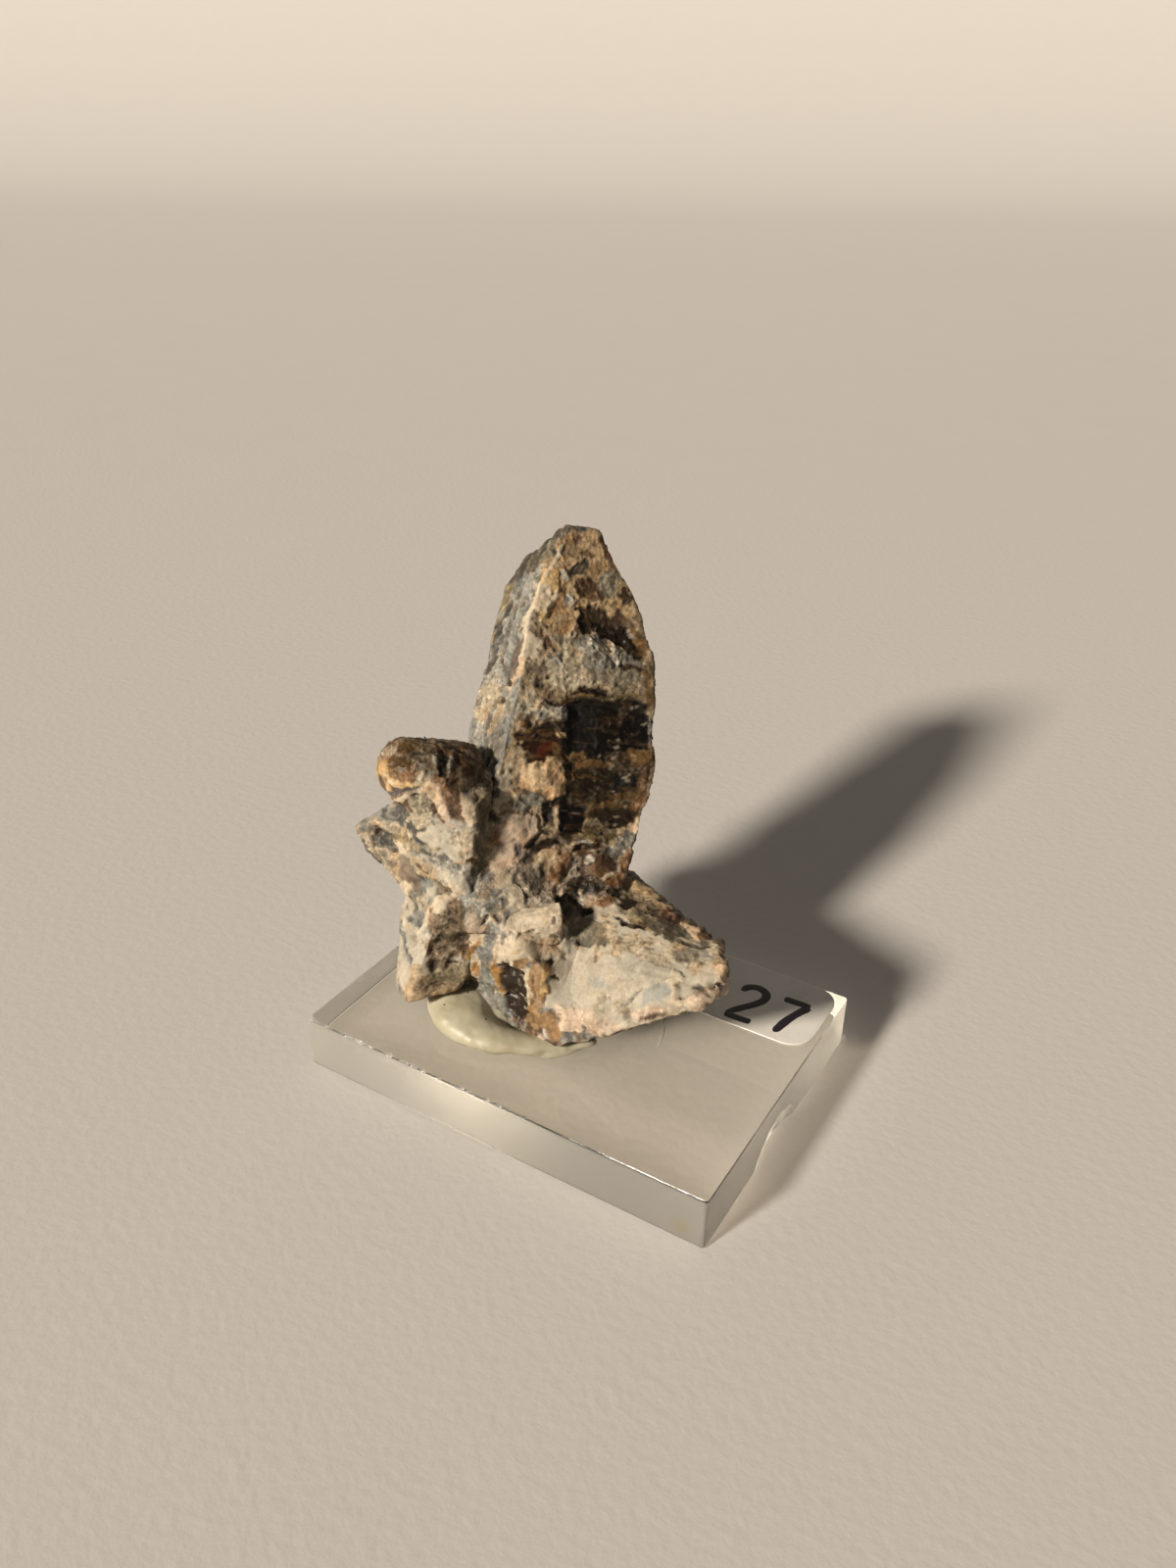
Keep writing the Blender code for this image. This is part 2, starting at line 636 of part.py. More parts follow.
def putty_pad(home, cutters, cluster):
    """The bead and the pad joined, flat below and pressed in by the crystals."""
    pad = putty_bead(cutters)
    dabs = []
    for number, dab in enumerate(PUTTY_DABS):
        dabs.append(putty_dab(f"dab {number}", *dab, cutters))
        boolean(pad, dabs[-1], "UNION")
    skin = pad.modifiers.new("even skin", "REMESH")
    skin.mode = "VOXEL"
    skin.voxel_size = PUTTY_VOXEL * MM
    softened = pad.modifiers.new("softened", "SMOOTH")
    softened.iterations = PUTTY_SMOOTHING
    mesh = evaluated_mesh(pad)
    for piece in [pad, *dabs]:
        bpy.data.objects.remove(piece, do_unlink=True)
    mesh.name = "putty"
    putty = add_object("putty", mesh, home)
    below = big_block("below the putty", SLAB_THICKNESS + GAP, cutters)
    boolean(putty, below, "DIFFERENCE")
    press = add_object("crystal print", evaluated_mesh(cluster), cutters)
    swell = press.modifiers.new("clearance", "DISPLACE")
    swell.mid_level = 0.0
    swell.strength = (GAP + PRINT_MARGIN) * MM
    hide_cutter(press)
    boolean(putty, press, "DIFFERENCE")
    thin_out(putty, PUTTY_TRIANGLES)
    mesh.materials.append(material("putty"))
    return putty


def build():
    """Build the whole specimen."""
    empty_the_file()
    home = collection("augite crystal")
    cutters = collection("cutters")
    acrylic_base(home, cutters)
    cluster = crystal_cluster(home, cutters)
    putty_pad(home, cutters, cluster)
    paper_label(home)


build()
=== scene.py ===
# %% [markdown]
# # Augite crystals on a clear slab
# A cabinet specimen: a tall augite crystal with smaller ones grown into its foot. Putty holds
# the group on a small slab of cast acrylic, and a paper label lies on the slab's back corner.
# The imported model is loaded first. It fixes every size and place, so each piece made below only
# gives its own part of that frame a finer surface. Lengths are in millimetres throughout, and
# MM turns them into metres.

# %% Load the frame
import itertools
import math

import bpy
import numpy as np
from mathutils import Matrix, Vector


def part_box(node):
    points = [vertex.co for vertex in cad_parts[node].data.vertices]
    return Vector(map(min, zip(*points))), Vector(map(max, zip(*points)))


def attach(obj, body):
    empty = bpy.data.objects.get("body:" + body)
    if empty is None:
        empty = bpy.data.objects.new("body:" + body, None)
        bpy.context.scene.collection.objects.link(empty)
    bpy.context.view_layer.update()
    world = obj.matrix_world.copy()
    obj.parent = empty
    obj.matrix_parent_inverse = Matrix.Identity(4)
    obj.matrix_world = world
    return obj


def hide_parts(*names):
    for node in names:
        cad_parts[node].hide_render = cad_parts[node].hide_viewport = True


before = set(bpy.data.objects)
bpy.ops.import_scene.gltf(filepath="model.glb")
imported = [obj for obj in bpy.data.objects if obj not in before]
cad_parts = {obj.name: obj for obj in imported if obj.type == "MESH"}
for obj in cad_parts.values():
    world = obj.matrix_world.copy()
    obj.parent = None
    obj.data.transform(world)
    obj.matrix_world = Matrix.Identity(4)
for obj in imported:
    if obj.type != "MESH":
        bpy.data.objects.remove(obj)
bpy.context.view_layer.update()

MM = 0.001
print("solids:", sorted(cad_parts))
for node in sorted(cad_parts):
    low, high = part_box(node)
    print(node, [round(v / MM, 1) for v in low], [round(v / MM, 1) for v in high])

# %% [markdown]
# ## Camera
# A phone held close over the table sees the specimen from its front right and from above. A
# camera is a point, a direction and a lens. The matrix is written out whole here, because a
# look-at helper would lose the small roll of a hand-held shot.

# %% Camera
CAMERA_PLACE = (53.80, -89.43, 91.73)
CAMERA_YAW, CAMERA_PITCH, CAMERA_ROLL = -30.88, 29.45, -0.96
CAMERA_LENS = 29.25
CAMERA_SENSOR = 36.0
CAMERA_NEAR = 5.0


def new_object(name, data):
    """An object with its data, linked into the scene."""
    made = bpy.data.objects.new(name, data)
    bpy.context.scene.collection.objects.link(made)
    return made


def camera_matrix(place, yaw, pitch, roll):
    """Columns right, up and back, from turns about the vertical, the side and the view line."""
    yaw, pitch, roll = np.radians((yaw, pitch, roll))
    right = np.array((math.cos(yaw), -math.sin(yaw), 0.0))
    ahead = np.array((math.sin(yaw), math.cos(yaw), 0.0))
    rise = np.array((0.0, 0.0, 1.0))
    forward = ahead * math.cos(pitch) - rise * math.sin(pitch)
    up = ahead * math.sin(pitch) + rise * math.cos(pitch)
    rolled_right = right * math.cos(roll) - up * math.sin(roll)
    rolled_up = right * math.sin(roll) + up * math.cos(roll)
    matrix = Matrix.Identity(4)
    for column, values in enumerate((rolled_right, rolled_up, -forward, np.array(place) * MM)):
        for row in range(3):
            matrix[row][column] = values[row]
    return matrix


lens = bpy.data.cameras.new("camera")
lens.lens = CAMERA_LENS
lens.sensor_width = CAMERA_SENSOR
lens.clip_start = CAMERA_NEAR * MM
camera = new_object("camera", lens)
camera.matrix_world = camera_matrix(CAMERA_PLACE, CAMERA_YAW, CAMERA_PITCH, CAMERA_ROLL)
bpy.context.scene.camera = camera
print("camera", [round(v, 1) for v in CAMERA_PLACE], "mm, lens", CAMERA_LENS, "mm")

# %% [markdown]
# ## Light
# One warm lamp from the left throws a long shadow to the right. A sun lamp gives the same
# direction everywhere, and its angle sets how soft the shadow's edge is. A dim warm sky fills
# the shaded sides, as light from the walls would.

# %% Light
LAMP_TRAVEL = (0.2875, 0.8348, -0.4695)
LAMP_ANGLE = 7.5
LAMP_POWER = 5.7
LAMP_COLOUR = (1.0, 0.885, 0.74)
SKY_COLOUR = (1.0, 0.92, 0.80, 1.0)
SKY_POWER = 0.13


def lamp_matrix(travel):
    """A lamp shines along its own -Z, so its Z column is the way back to the lamp."""
    back = -np.array(travel) / np.linalg.norm(travel)
    side = np.cross((0.0, 0.0, 1.0), back)
    side /= np.linalg.norm(side)
    return Matrix(np.column_stack((side, np.cross(back, side), back)).tolist()).to_4x4()


lamp = bpy.data.lights.new("lamp", "SUN")
lamp.energy = LAMP_POWER
lamp.angle = math.radians(LAMP_ANGLE)
lamp.color = LAMP_COLOUR
new_object("lamp", lamp).matrix_world = lamp_matrix(LAMP_TRAVEL)
sky = bpy.data.worlds.new("sky")
bpy.context.scene.world = sky
sky.use_nodes = True
sky.node_tree.nodes["Background"].inputs["Color"].default_value = SKY_COLOUR
sky.node_tree.nodes["Background"].inputs["Strength"].default_value = SKY_POWER
bpy.context.scene.view_settings.view_transform = "Standard"
print("lamp travels", LAMP_TRAVEL, "and is", LAMP_ANGLE, "degrees wide")

# %% [markdown]
# ## Helpers for meshes
# Every surface below is an array of points on a grid. These helpers turn such a grid into a
# closed mesh, and store numbers on its vertices for the materials to read.

# %% Mesh helpers
def grid_faces(rows, columns):
    """Faces of a grid that closes round its columns, between a point below and one above.
    Point 0 is the lower pole, then come the rows, and the last point is the upper pole."""
    row = np.arange(rows - 1)[:, None] * columns
    here = np.arange(columns)[None, :]
    after = (here + 1) % columns
    quads = np.stack((row + here, row + after, row + columns + after, row + columns + here), -1)
    quads = quads.reshape(-1, 4) + 1
    pole = 1 + rows * columns
    ring = np.arange(columns)
    after = (ring + 1) % columns
    low = np.stack((np.zeros_like(ring), after + 1, ring + 1), -1)
    last = 1 + (rows - 1) * columns
    high = np.stack((ring + last, after + last, np.full_like(ring, pole)), -1)
    return quads.tolist() + low.tolist() + high.tolist()


def faced_outwards(points, faces):
    """The faces, turned over if the volume that they enclose comes out negative."""
    first = np.array([face[:3] for face in faces])
    a, b, c = ((points - points.mean(axis=0))[first[:, k]] for k in range(3))
    volume = float(np.einsum("ij,ij->i", a, np.cross(b, c)).sum())
    return [face[::-1] for face in faces] if volume < 0 else faces


def make_mesh(name, points, faces):
    """A smooth mesh from points in millimetres, turned right side out, and its object."""
    points = np.asarray(points, float)
    mesh = bpy.data.meshes.new(name)
    mesh.from_pydata((points * MM).tolist(), [], faced_outwards(points, faces))
    mesh.validate()
    mesh.shade_smooth()
    return new_object(name, mesh)


def add_number(thing, name, values):
    """Store one number per vertex under a name that a material can read."""
    layer = thing.data.attributes.new(name, "FLOAT", "POINT")
    layer.data.foreach_set("value", np.asarray(values, np.float32))


def add_colour(thing, name, values):
    """Store one colour per vertex under a name that a material can read."""
    layer = thing.data.attributes.new(name, "FLOAT_COLOR", "POINT")
    rgba = np.ones((len(values), 4), np.float32)
    rgba[:, :3] = np.clip(values, 0.0, 1.0)
    layer.data.foreach_set("color", rgba.ravel())


def count_triangles(thing):
    """How many triangles an object's mesh has."""
    thing.data.calc_loop_triangles()
    return len(thing.data.loop_triangles)


print("a closed grid of 4 rows and 6 columns has", len(grid_faces(4, 6)), "faces")

# %% [markdown]
# ## Helpers for materials
# A material is a tree of nodes. A few short builders keep the trees readable: each adds one
# kind of node, sets its plain values, links the rest and hands back the socket that is used
# next. All patterns are laid out in Object coordinates, so they stay on their piece.

# %% Node helpers
UNIT = (0.0, 1.0)
NOISE_SPAN = (0.3, 0.7)
CLOUD_SPAN = (0.35, 0.65)


def new_material(name):
    """A material, its node tree and its Principled shader."""
    made = bpy.data.materials.new(name)
    made.use_nodes = True
    return made, made.node_tree, made.node_tree.nodes["Principled BSDF"]


def set_inputs(tree, node, inputs):
    """Sockets are linked to the node's inputs; plain values are set on them."""
    for key, value in inputs.items():
        if isinstance(value, bpy.types.NodeSocket):
            tree.links.new(value, node.inputs[key])
        else:
            node.inputs[key].default_value = value


def add_node(tree, kind, inputs=None, **settings):
    """A new node with its settings and inputs."""
    node = tree.nodes.new(kind)
    for key, value in settings.items():
        setattr(node, key, value)
    set_inputs(tree, node, inputs or {})
    return node


def object_place(tree):
    """The place of each point in its own piece's space."""
    return add_node(tree, "ShaderNodeTexCoord").outputs["Object"]


def stored(tree, name, socket="Fac"):
    """A number (Fac) or a colour (Color) that the vertices carry."""
    return add_node(tree, "ShaderNodeAttribute", attribute_name=name).outputs[socket]


def noise(tree, place, scale, detail=2.0, **more):
    """A noise pattern of a scale (per metre); more sets any other input of the node."""
    inputs = {"Vector": place, "Scale": scale, "Detail": detail, **more}
    return add_node(tree, "ShaderNodeTexNoise", inputs).outputs["Fac"]


def mapped(tree, value, span, target):
    """A value carried from one span to another."""
    node = add_node(tree, "ShaderNodeMapRange", {
        "Value": value, "From Min": span[0], "From Max": span[1],
        "To Min": target[0], "To Max": target[1]})
    return node.outputs["Result"]


def math_node(tree, operation, first, second):
    """One arithmetic step."""
    return add_node(tree, "ShaderNodeMath", {0: first, 1: second}, operation=operation).outputs[0]


def mixed(tree, factor, first, second):
    """Two colours mixed by a factor."""
    inputs = {0: factor, 6: first, 7: second}
    return add_node(tree, "ShaderNodeMix", inputs, data_type="RGBA").outputs[2]


def scaled(tree, vector, factor):
    """A colour or a vector times a factor."""
    inputs = {0: vector, "Scale": factor}
    return add_node(tree, "ShaderNodeVectorMath", inputs, operation="SCALE").outputs["Vector"]


def bumped(tree, height, strength, distance):
    """A normal tilted by a height pattern that reaches a distance in millimetres."""
    inputs = {"Height": height, "Strength": strength, "Distance": distance * MM}
    return add_node(tree, "ShaderNodeBump", inputs).outputs["Normal"]


print("the noise patterns' values lie mostly between", *NOISE_SPAN)

# %% [markdown]
# ## Floor
# The specimen stands on a sheet of pale paper that curves up behind it. One profile, flat and
# then a quarter circle, carried sideways makes the whole sweep.

# %% Floor
FLOOR_DROP = 0.05
FLOOR_REACH = 600.0
FLOOR_BEHIND = 900.0
FLOOR_HALF_WIDTH = 1400.0
FLOOR_ROWS, FLOOR_COLUMNS = 24, 30
SWEEP_RADIUS = 700.0
SWEEP_ROWS = 32
FLOOR_SHADES = ((0.455, 0.44, 0.43, 1.0), (0.62, 0.60, 0.585, 1.0))
FLOOR_ROUGHNESS = 0.75
MOTTLE, MOTTLE_SHADE = 60.0, (-0.02, 0.02)
TOOTH, TOOTH_SHADE, TOOTH_BUMP, TOOTH_DEPTH = 900.0, (0.48, 0.52), 0.25, 0.2


def paper_sweep():
    """Rows run from in front of the slab to behind it: flat, then up a quarter circle. The
    whole is turned about the vertical, to face the camera."""
    flat = np.linspace(-FLOOR_REACH, FLOOR_BEHIND, FLOOR_ROWS)
    bend = np.radians(np.linspace(0.0, 90.0, SWEEP_ROWS))[1:]
    back = np.concatenate((flat, FLOOR_BEHIND + SWEEP_RADIUS * np.sin(bend)))[:, None]
    rise = np.concatenate((np.zeros(FLOOR_ROWS), SWEEP_RADIUS * (1.0 - np.cos(bend))))[:, None]
    side = np.linspace(-FLOOR_HALF_WIDTH, FLOOR_HALF_WIDTH, FLOOR_COLUMNS)[None, :]
    turn = math.radians(-CAMERA_YAW)
    across = side * math.cos(turn) - back * math.sin(turn)
    behind = side * math.sin(turn) + back * math.cos(turn)
    grid = np.stack(np.broadcast_arrays(across, behind, rise - FLOOR_DROP), -1)
    rows, columns = grid.shape[:2]
    start = (np.arange(rows - 1)[:, None] * columns + np.arange(columns - 1)).ravel()
    faces = np.stack((start, start + 1, start + columns + 1, start + columns), -1)
    return grid.reshape(-1, 3), faces.tolist()


def floor_material():
    """Pale warm paper with a faint mottle and a fine tooth."""
    made, tree, shader = new_material("pale floor")
    place = object_place(tree)
    broad = noise(tree, place, MOTTLE, 3.0)
    tooth = noise(tree, place, TOOTH, 3.0)
    shade = math_node(tree, "ADD", mapped(tree, broad, NOISE_SPAN, MOTTLE_SHADE),
                      mapped(tree, tooth, NOISE_SPAN, TOOTH_SHADE))
    set_inputs(tree, shader, {
        "Base Color": mixed(tree, shade, *FLOOR_SHADES), "Roughness": FLOOR_ROUGHNESS,
        "Normal": bumped(tree, tooth, TOOTH_BUMP, TOOTH_DEPTH)})
    return made


points, faces = paper_sweep()
floor = make_mesh("floor", points, faces)
floor.data.materials.append(floor_material())
print("floor:", len(points), "points")

# %% [markdown]
# ## The crystals' shapes
# Augite grows as stubby prisms with flat faces. Each crystal here is what is left of space
# after flat cuts: an axis that leans from a root point, and a row of faces round it. A face is
# the turn of its normal round the axis, its rise towards the axis, and its distance from the
# root. The same values make the solids, so the skins below lie on them.

# %% Crystal table
CRYSTALS = {
    "main": {"root": (-4.5, 2.5, 17.0), "lean": 36, "toward": 118, "faces": {
        "front": (-158, 5, 3.6), "left": (121, 11, 10.2), "right": (-68, -1, 8.8),
        "right_shoulder": (-66, 21, 17.8), "right_peak": (-65, 32, 22.7),
        "right_foot": (-69, -17, 5.1), "back": (24, -2, 7.9), "left_bevel": (116, 34, 22.9),
        "back_left": (72, -4, 10.0), "back_right": (-20, 4, 7.8), "top": (-10, 84, 38.9),
        "foot": (0, -90, 4.0),
    }},
    "prong": {"root": (-4.0, -1.5, 14.0), "lean": 80, "toward": -1, "faces": {
        "front": (-159, 4, 1.7), "lower_front": (-134, -8, -0.2), "keel": (-107, -11, 2.3),
        "upper_front": (174, 11, 5.1), "back": (81, 26, 11.6), "tip_back": (86, 51, 17.2),
        "tip_top": (70, 76, 19.9), "tip_under": (-54, 48, 17.3), "far": (-15, 26, 10.3),
        "under": (-45, -24, 3.0), "inner": (20, -10, 4.7), "heel": (-174, -80, 3.0),
    }},
    "lower": {"root": (-4.5, -2.5, 17.0), "lean": 148, "toward": -56, "faces": {
        "front": (-142, 11, 2.4), "side": (-97, -10, 5.9), "side_foot": (-63, 35, 11.3),
        "toe": (-50, 50, 12.1), "left_foot": (115, 26, 11.7), "left": (74, 14, 11.1),
        "back": (-25, -9, 7.7), "sole": (-71, 78, 12.4), "sole_left": (83, 70, 12.6),
        "sole_back": (0, 58, 10.6), "shoulder": (-150, -22, 2.3), "brow": (170, -24, -0.2),
        "head": (180, -58, -1.0),
    }},
    "lower_left": {"root": (-6.0, -3.0, 19.0), "lean": 129, "toward": -130, "faces": {
        "front": (98, -2, 0.8), "front_foot": (164, 26, 7.2), "left": (-144, 5, 8.1),
        "sole": (20, 73, 14.5), "sole_right": (41, 27, 7.2), "back": (-86, 28, 8.7),
        "inner": (36, -34, -3.0), "brow": (143, -33, 0.9), "head": (-132, -80, 3.0),
    }},
    "wedge": {"root": (-8.5, -1.0, 20.5), "lean": 80, "toward": -155, "faces": {
        "front": (127, 18, 4.4), "front_tip": (76, 38, 8.9), "top": (-135, 40, 11.4),
        "under": (24, 23, 7.1), "back": (-62, -18, 1.9), "upper": (-142, -2, 3.8),
        "back_tip": (-29, 50, 12.6), "keel": (24, -30, 2.4), "heel": (110, -63, -2.5),
    }},
    "spur": {"root": (-9.0, -2.0, 19.0), "lean": 94, "toward": -150, "faces": {
        "front": (137, 11, 3.8), "tip_front": (59, 57, 7.9), "under": (30, 3, 1.1),
        "tip_back": (-130, 52, 7.9), "back": (-89, -20, 0.7), "upper": (-171, -9, 0.5),
        "heel": (83, -60, 0.0),
    }},
    "barrel": {"root": (-8.5, -1.5, 20.0), "lean": 35, "toward": -169, "faces": {
        "front": (100, -1, 3.1), "front_left": (53, 14, 7.6), "left": (-1, 33, 13.2),
        "left_foot": (10, -28, -1.6), "front_foot": (138, -36, -3.8),
        "right_foot": (-168, -44, -4.6), "back": (-116, -17, 2.5),
        "back_left": (-66, 16, 11.3), "crown": (12, 75, 17.7), "crown_front": (108, 65, 16.0),
        "brow": (148, 35, 10.5), "right": (-171, 21, 7.3), "crown_back": (-131, 49, 13.3),
        "crown_right": (177, 54, 13.5), "sole": (-56, -79, 0.8), "sole_left": (49, -34, -2.9),
    }},
    "waist": {"root": (-7.0, -1.5, 19.0), "lean": 38, "toward": -166, "faces": {
        "front": (103, 15, 5.2), "front_left": (52, 35, 10.2), "left": (1, 10, 7.4),
        "right_foot": (170, -32, -1.9), "right_back": (-150, -44, -3.8),
        "back": (-109, -15, 3.6), "sole": (-42, -78, 1.0), "sole_left": (44, -22, 3.1),
        "top": (180, 52, 10.5),
    }},
    "core": {"root": (-5.0, -1.0, 17.0), "lean": 0, "toward": 0, "faces": {
        "front_right": (-65, 35, 5.6), "front_left": (-115, 25, 8.7), "brow": (-20, 50, 2.6),
        "right": (-15, 10, 5.5), "left": (180, 0, 7.0), "back_right": (60, 0, 9.9),
        "back_left": (120, 0, 7.5), "foot": (0, -90, 9.5), "front": (-85, 5, 5.9),
        "under_left": (-140, -20, 9.4), "under_back": (60, -40, 11.0),
        "under_back_left": (150, -35, 7.8), "top_front": (-60, 70, 4.8),
        "top_left": (-150, 40, 11.7), "under_front": (-95, -40, 8.8),
    }},
    "knob": {"root": (-5.0, -5.6, 17.6), "lean": 78, "toward": 40, "faces": {
        "upper_front": (-150, 0, 1.7), "front": (-90, 0, 1.8), "under_front": (-30, 0, 3.4),
        "under_back": (30, 0, 3.4), "back": (90, 0, 1.8), "upper_back": (150, 0, 1.6),
        "end": (0, 80, 5.2), "heel": (0, -90, 1.0),
    }},
}


def crystal_axes(lean, toward):
    """The crystal's own X, Y and Z directions as rows; Z is its axis."""
    tip, compass = math.radians(lean), math.radians(toward)
    across = (math.cos(tip) * math.cos(compass), math.cos(tip) * math.sin(compass), -math.sin(tip))
    side = (-math.sin(compass), math.cos(compass), 0.0)
    along = (math.sin(tip) * math.cos(compass), math.sin(tip) * math.sin(compass), math.cos(tip))
    return np.array((across, side, along))


def crystal_planes(crystal):
    """Unit normals n and distances d of the faces: a point p is inside where n . p <= d."""
    table = np.array(list(crystal["faces"].values()), float)
    turn, rise = np.radians(table[:, 0]), np.radians(table[:, 1])
    own = np.stack((np.cos(rise) * np.cos(turn), np.cos(rise) * np.sin(turn), np.sin(rise)), -1)
    normals = own @ crystal_axes(crystal["lean"], crystal["toward"])
    return normals, table[:, 2] + normals @ np.array(crystal["root"])


AXES = {name: crystal_axes(crystal["lean"], crystal["toward"]) for name, crystal in CRYSTALS.items()}
PLANES = {name: crystal_planes(crystal) for name, crystal in CRYSTALS.items()}
print(len(CRYSTALS), "crystals with", sum(len(d) for _n, d in PLANES.values()), "faces")

# %% [markdown]
# A crystal's skin is a function of two parameters. Picture a capsule inside the crystal: rays
# leave its straight middle sideways and its ends in a fan. Each ray stops at the first face
# that it meets. Rays that are spread evenly by arc length give cells of one size, so fine
# relief looks the same on every face.

# %% Skin of a crystal
CELL = 0.165
CAPSULE_SHARE = 0.6
SAMPLES_ROUND, SAMPLES_ALONG = 361, 241
PERCENTILE_ROUND, PERCENTILE_ALONG = 80, 60
NEARLY_PARALLEL = 1e-3
TINY = 1e-6


def inner_point(normals, distances):
    """The mean of the crystal's corners: points where three faces meet inside all the others."""
    triples = np.array(list(itertools.combinations(range(len(distances)), 3)))
    sides = normals[triples]
    solid = np.abs(np.linalg.det(sides)) > NEARLY_PARALLEL
    corners = np.linalg.solve(sides[solid], distances[triples[solid]][..., None])[..., 0]
    inside = np.all(corners @ normals.T <= distances + TINY, axis=1)
    return corners[inside].mean(axis=0)


def first_hit(starts, rays, normals, distances):
    """How far each ray runs: the least of (d - n . start) / (n . ray) over the faces ahead."""
    ahead = rays @ normals.T
    room = distances - starts @ normals.T
    far = np.where(ahead > TINY, room / np.maximum(ahead, TINY), np.inf)
    return far.min(axis=1)


def capsule_points(turn, level, axes, middle, normals, distances):
    """Skin points for turns (0 to 1, round the axis) and levels (0 to 1, from foot to tip)."""
    ends = [first_hit(middle[None], sign * axes[2][None], normals, distances)[0] for sign in (-1, 1)]
    low, high = -CAPSULE_SHARE * ends[0], CAPSULE_SHARE * ends[1]
    part = np.asarray(level) * 3.0
    shift = low + (high - low) * np.clip(part - 1.0, 0.0, 1.0)
    fan = (np.clip(part - 2.0, 0.0, 1.0) - np.clip(1.0 - part, 0.0, 1.0)) * math.pi / 2
    angle = np.asarray(turn) * 2.0 * math.pi
    shift, fan, angle = np.broadcast_arrays(shift[:, None], fan[:, None], angle[None, :])
    side = np.cos(angle)[..., None] * axes[0] + np.sin(angle)[..., None] * axes[1]
    rays = np.cos(fan)[..., None] * side + np.sin(fan)[..., None] * axes[2]
    starts = middle + shift[..., None] * axes[2]
    far = first_hit(starts.reshape(-1, 3), rays.reshape(-1, 3), normals, distances)
    return starts + rays * far.reshape(fan.shape)[..., None]


def even_spread(parameter, lengths, count, closed):
    """Parameter values that split the summed lengths into equal parts."""
    total = np.concatenate(([0.0], np.cumsum(lengths)))
    marks = np.linspace(0.0, total[-1], count + 1)
    return np.interp(marks[:-1] if closed else marks[1:-1], total, parameter)


def crystal_skin(name):
    """Points of one crystal, pole first and pole last, and the faces of its grid."""
    normals, distances = PLANES[name]
    fixed = (AXES[name], inner_point(normals, distances), normals, distances)
    turn, level = np.linspace(0.0, 1.0, SAMPLES_ROUND), np.linspace(0.0, 1.0, SAMPLES_ALONG)
    rough = capsule_points(turn, level, *fixed)
    round_steps = np.linalg.norm(np.diff(rough, axis=1), axis=2)
    rise_steps = np.linalg.norm(np.diff(rough, axis=0), axis=2)
    columns = int(round(np.percentile(round_steps.sum(axis=1), PERCENTILE_ROUND) / CELL))
    rows = int(round(np.percentile(rise_steps.sum(axis=0), PERCENTILE_ALONG) / CELL))
    turns = even_spread(turn, round_steps.mean(axis=0), columns, True)
    levels = even_spread(level, rise_steps.mean(axis=1), rows + 1, False)
    grid = capsule_points(turns, levels, *fixed)
    poles = capsule_points(np.zeros(1), np.array((0.0, 1.0)), *fixed)[:, 0]
    points = np.vstack((poles[:1], grid.reshape(-1, 3), poles[1:]))
    return points, grid_faces(rows, columns)


print("the prong's skin has", len(crystal_skin("prong")[0]), "points")

# %% [markdown]
# ## Noise
# Natural surfaces need randomness that is the same on every run. Two kinds do most of the
# work: smooth noise for swells and colour clouds, and cells of random height for the blocky
# breaks that two good cleavages leave. A table holds the seed of each use, so that the patterns
# differ and stay the same on every run.

# %% Noise
SEEDS = {
    "roughness": 11, "panel edge": 13, "cloud": 40, "long cloud": 45, "fray": 50,
    "ledge bend": 60, "ledge": 61, "crumb": 65, "comb": 70, "tint cloud": 75, "rust": 77,
    "streak": 81, "streak area": 83, "glint": 85, "glint area": 88, "outline bend": 90,
    "broken edge": 3, "amber": 5, "nicks": 7, "putty swell": 61, "putty grain": 63, "stroke": 71,
}
HASH_FACTORS = (73856093, 19349663, 83492791)
HASH_SEED_FACTOR = 2654435761
HASH_LAST_FACTOR = 1274126177
HASH_MASK = 0x7FFFFFFF
LAYER_STRENGTH = 1.5


def lattice_value(lattice, seed):
    """A fixed random number from 0 to 1 for each whole-number point, from its mixed-up bits."""
    x, y, z = (lattice[..., k] * HASH_FACTORS[k] for k in range(3))
    bits = ((x ^ y ^ z) + seed * HASH_SEED_FACTOR) & HASH_MASK
    bits = (bits ^ (bits >> 13)) * HASH_LAST_FACTOR & HASH_MASK
    return ((bits >> 8) & 0xFFFF) / 0xFFFF


def smooth_noise(points, seed):
    """Noise from -1 to 1: random values on a unit lattice, blended smoothly between them."""
    cell = np.floor(points).astype(np.int64)
    part = points - cell
    blend = part * part * (3.0 - 2.0 * part)
    total = np.zeros(len(points))
    for corner in itertools.product((0, 1), repeat=3):
        weight = np.prod(np.where(corner, blend, 1.0 - blend), axis=1)
        total += weight * (2.0 * lattice_value(cell + corner, seed) - 1.0)
    return total


def layered_noise(points, size, layers, seed):
    """Smooth noise in several sizes, each half as large and half as strong as the last."""
    total = np.zeros(len(points))
    for layer in range(layers):
        total += 0.5 ** layer * smooth_noise(points / size * 2 ** layer, seed + layer)
    return total / LAYER_STRENGTH


def cell_noise(points, seed):
    """Random cells: the height of the nearest cell (0 to 1) and how far off its border is."""
    cell = np.floor(points).astype(np.int64)
    nearest = np.full(len(points), np.inf)
    second = np.full(len(points), np.inf)
    height = np.zeros(len(points))
    for step in itertools.product((-1, 0, 1), repeat=3):
        there = cell + step
        centre = there + np.stack([lattice_value(there, seed + k) for k in range(3)], -1)
        gap = np.linalg.norm(points - centre, axis=1)
        closer = gap < nearest
        second = np.where(closer, nearest, np.minimum(second, gap))
        height = np.where(closer, lattice_value(there, seed + 3), height)
        nearest = np.where(closer, gap, nearest)
    return height, second - nearest


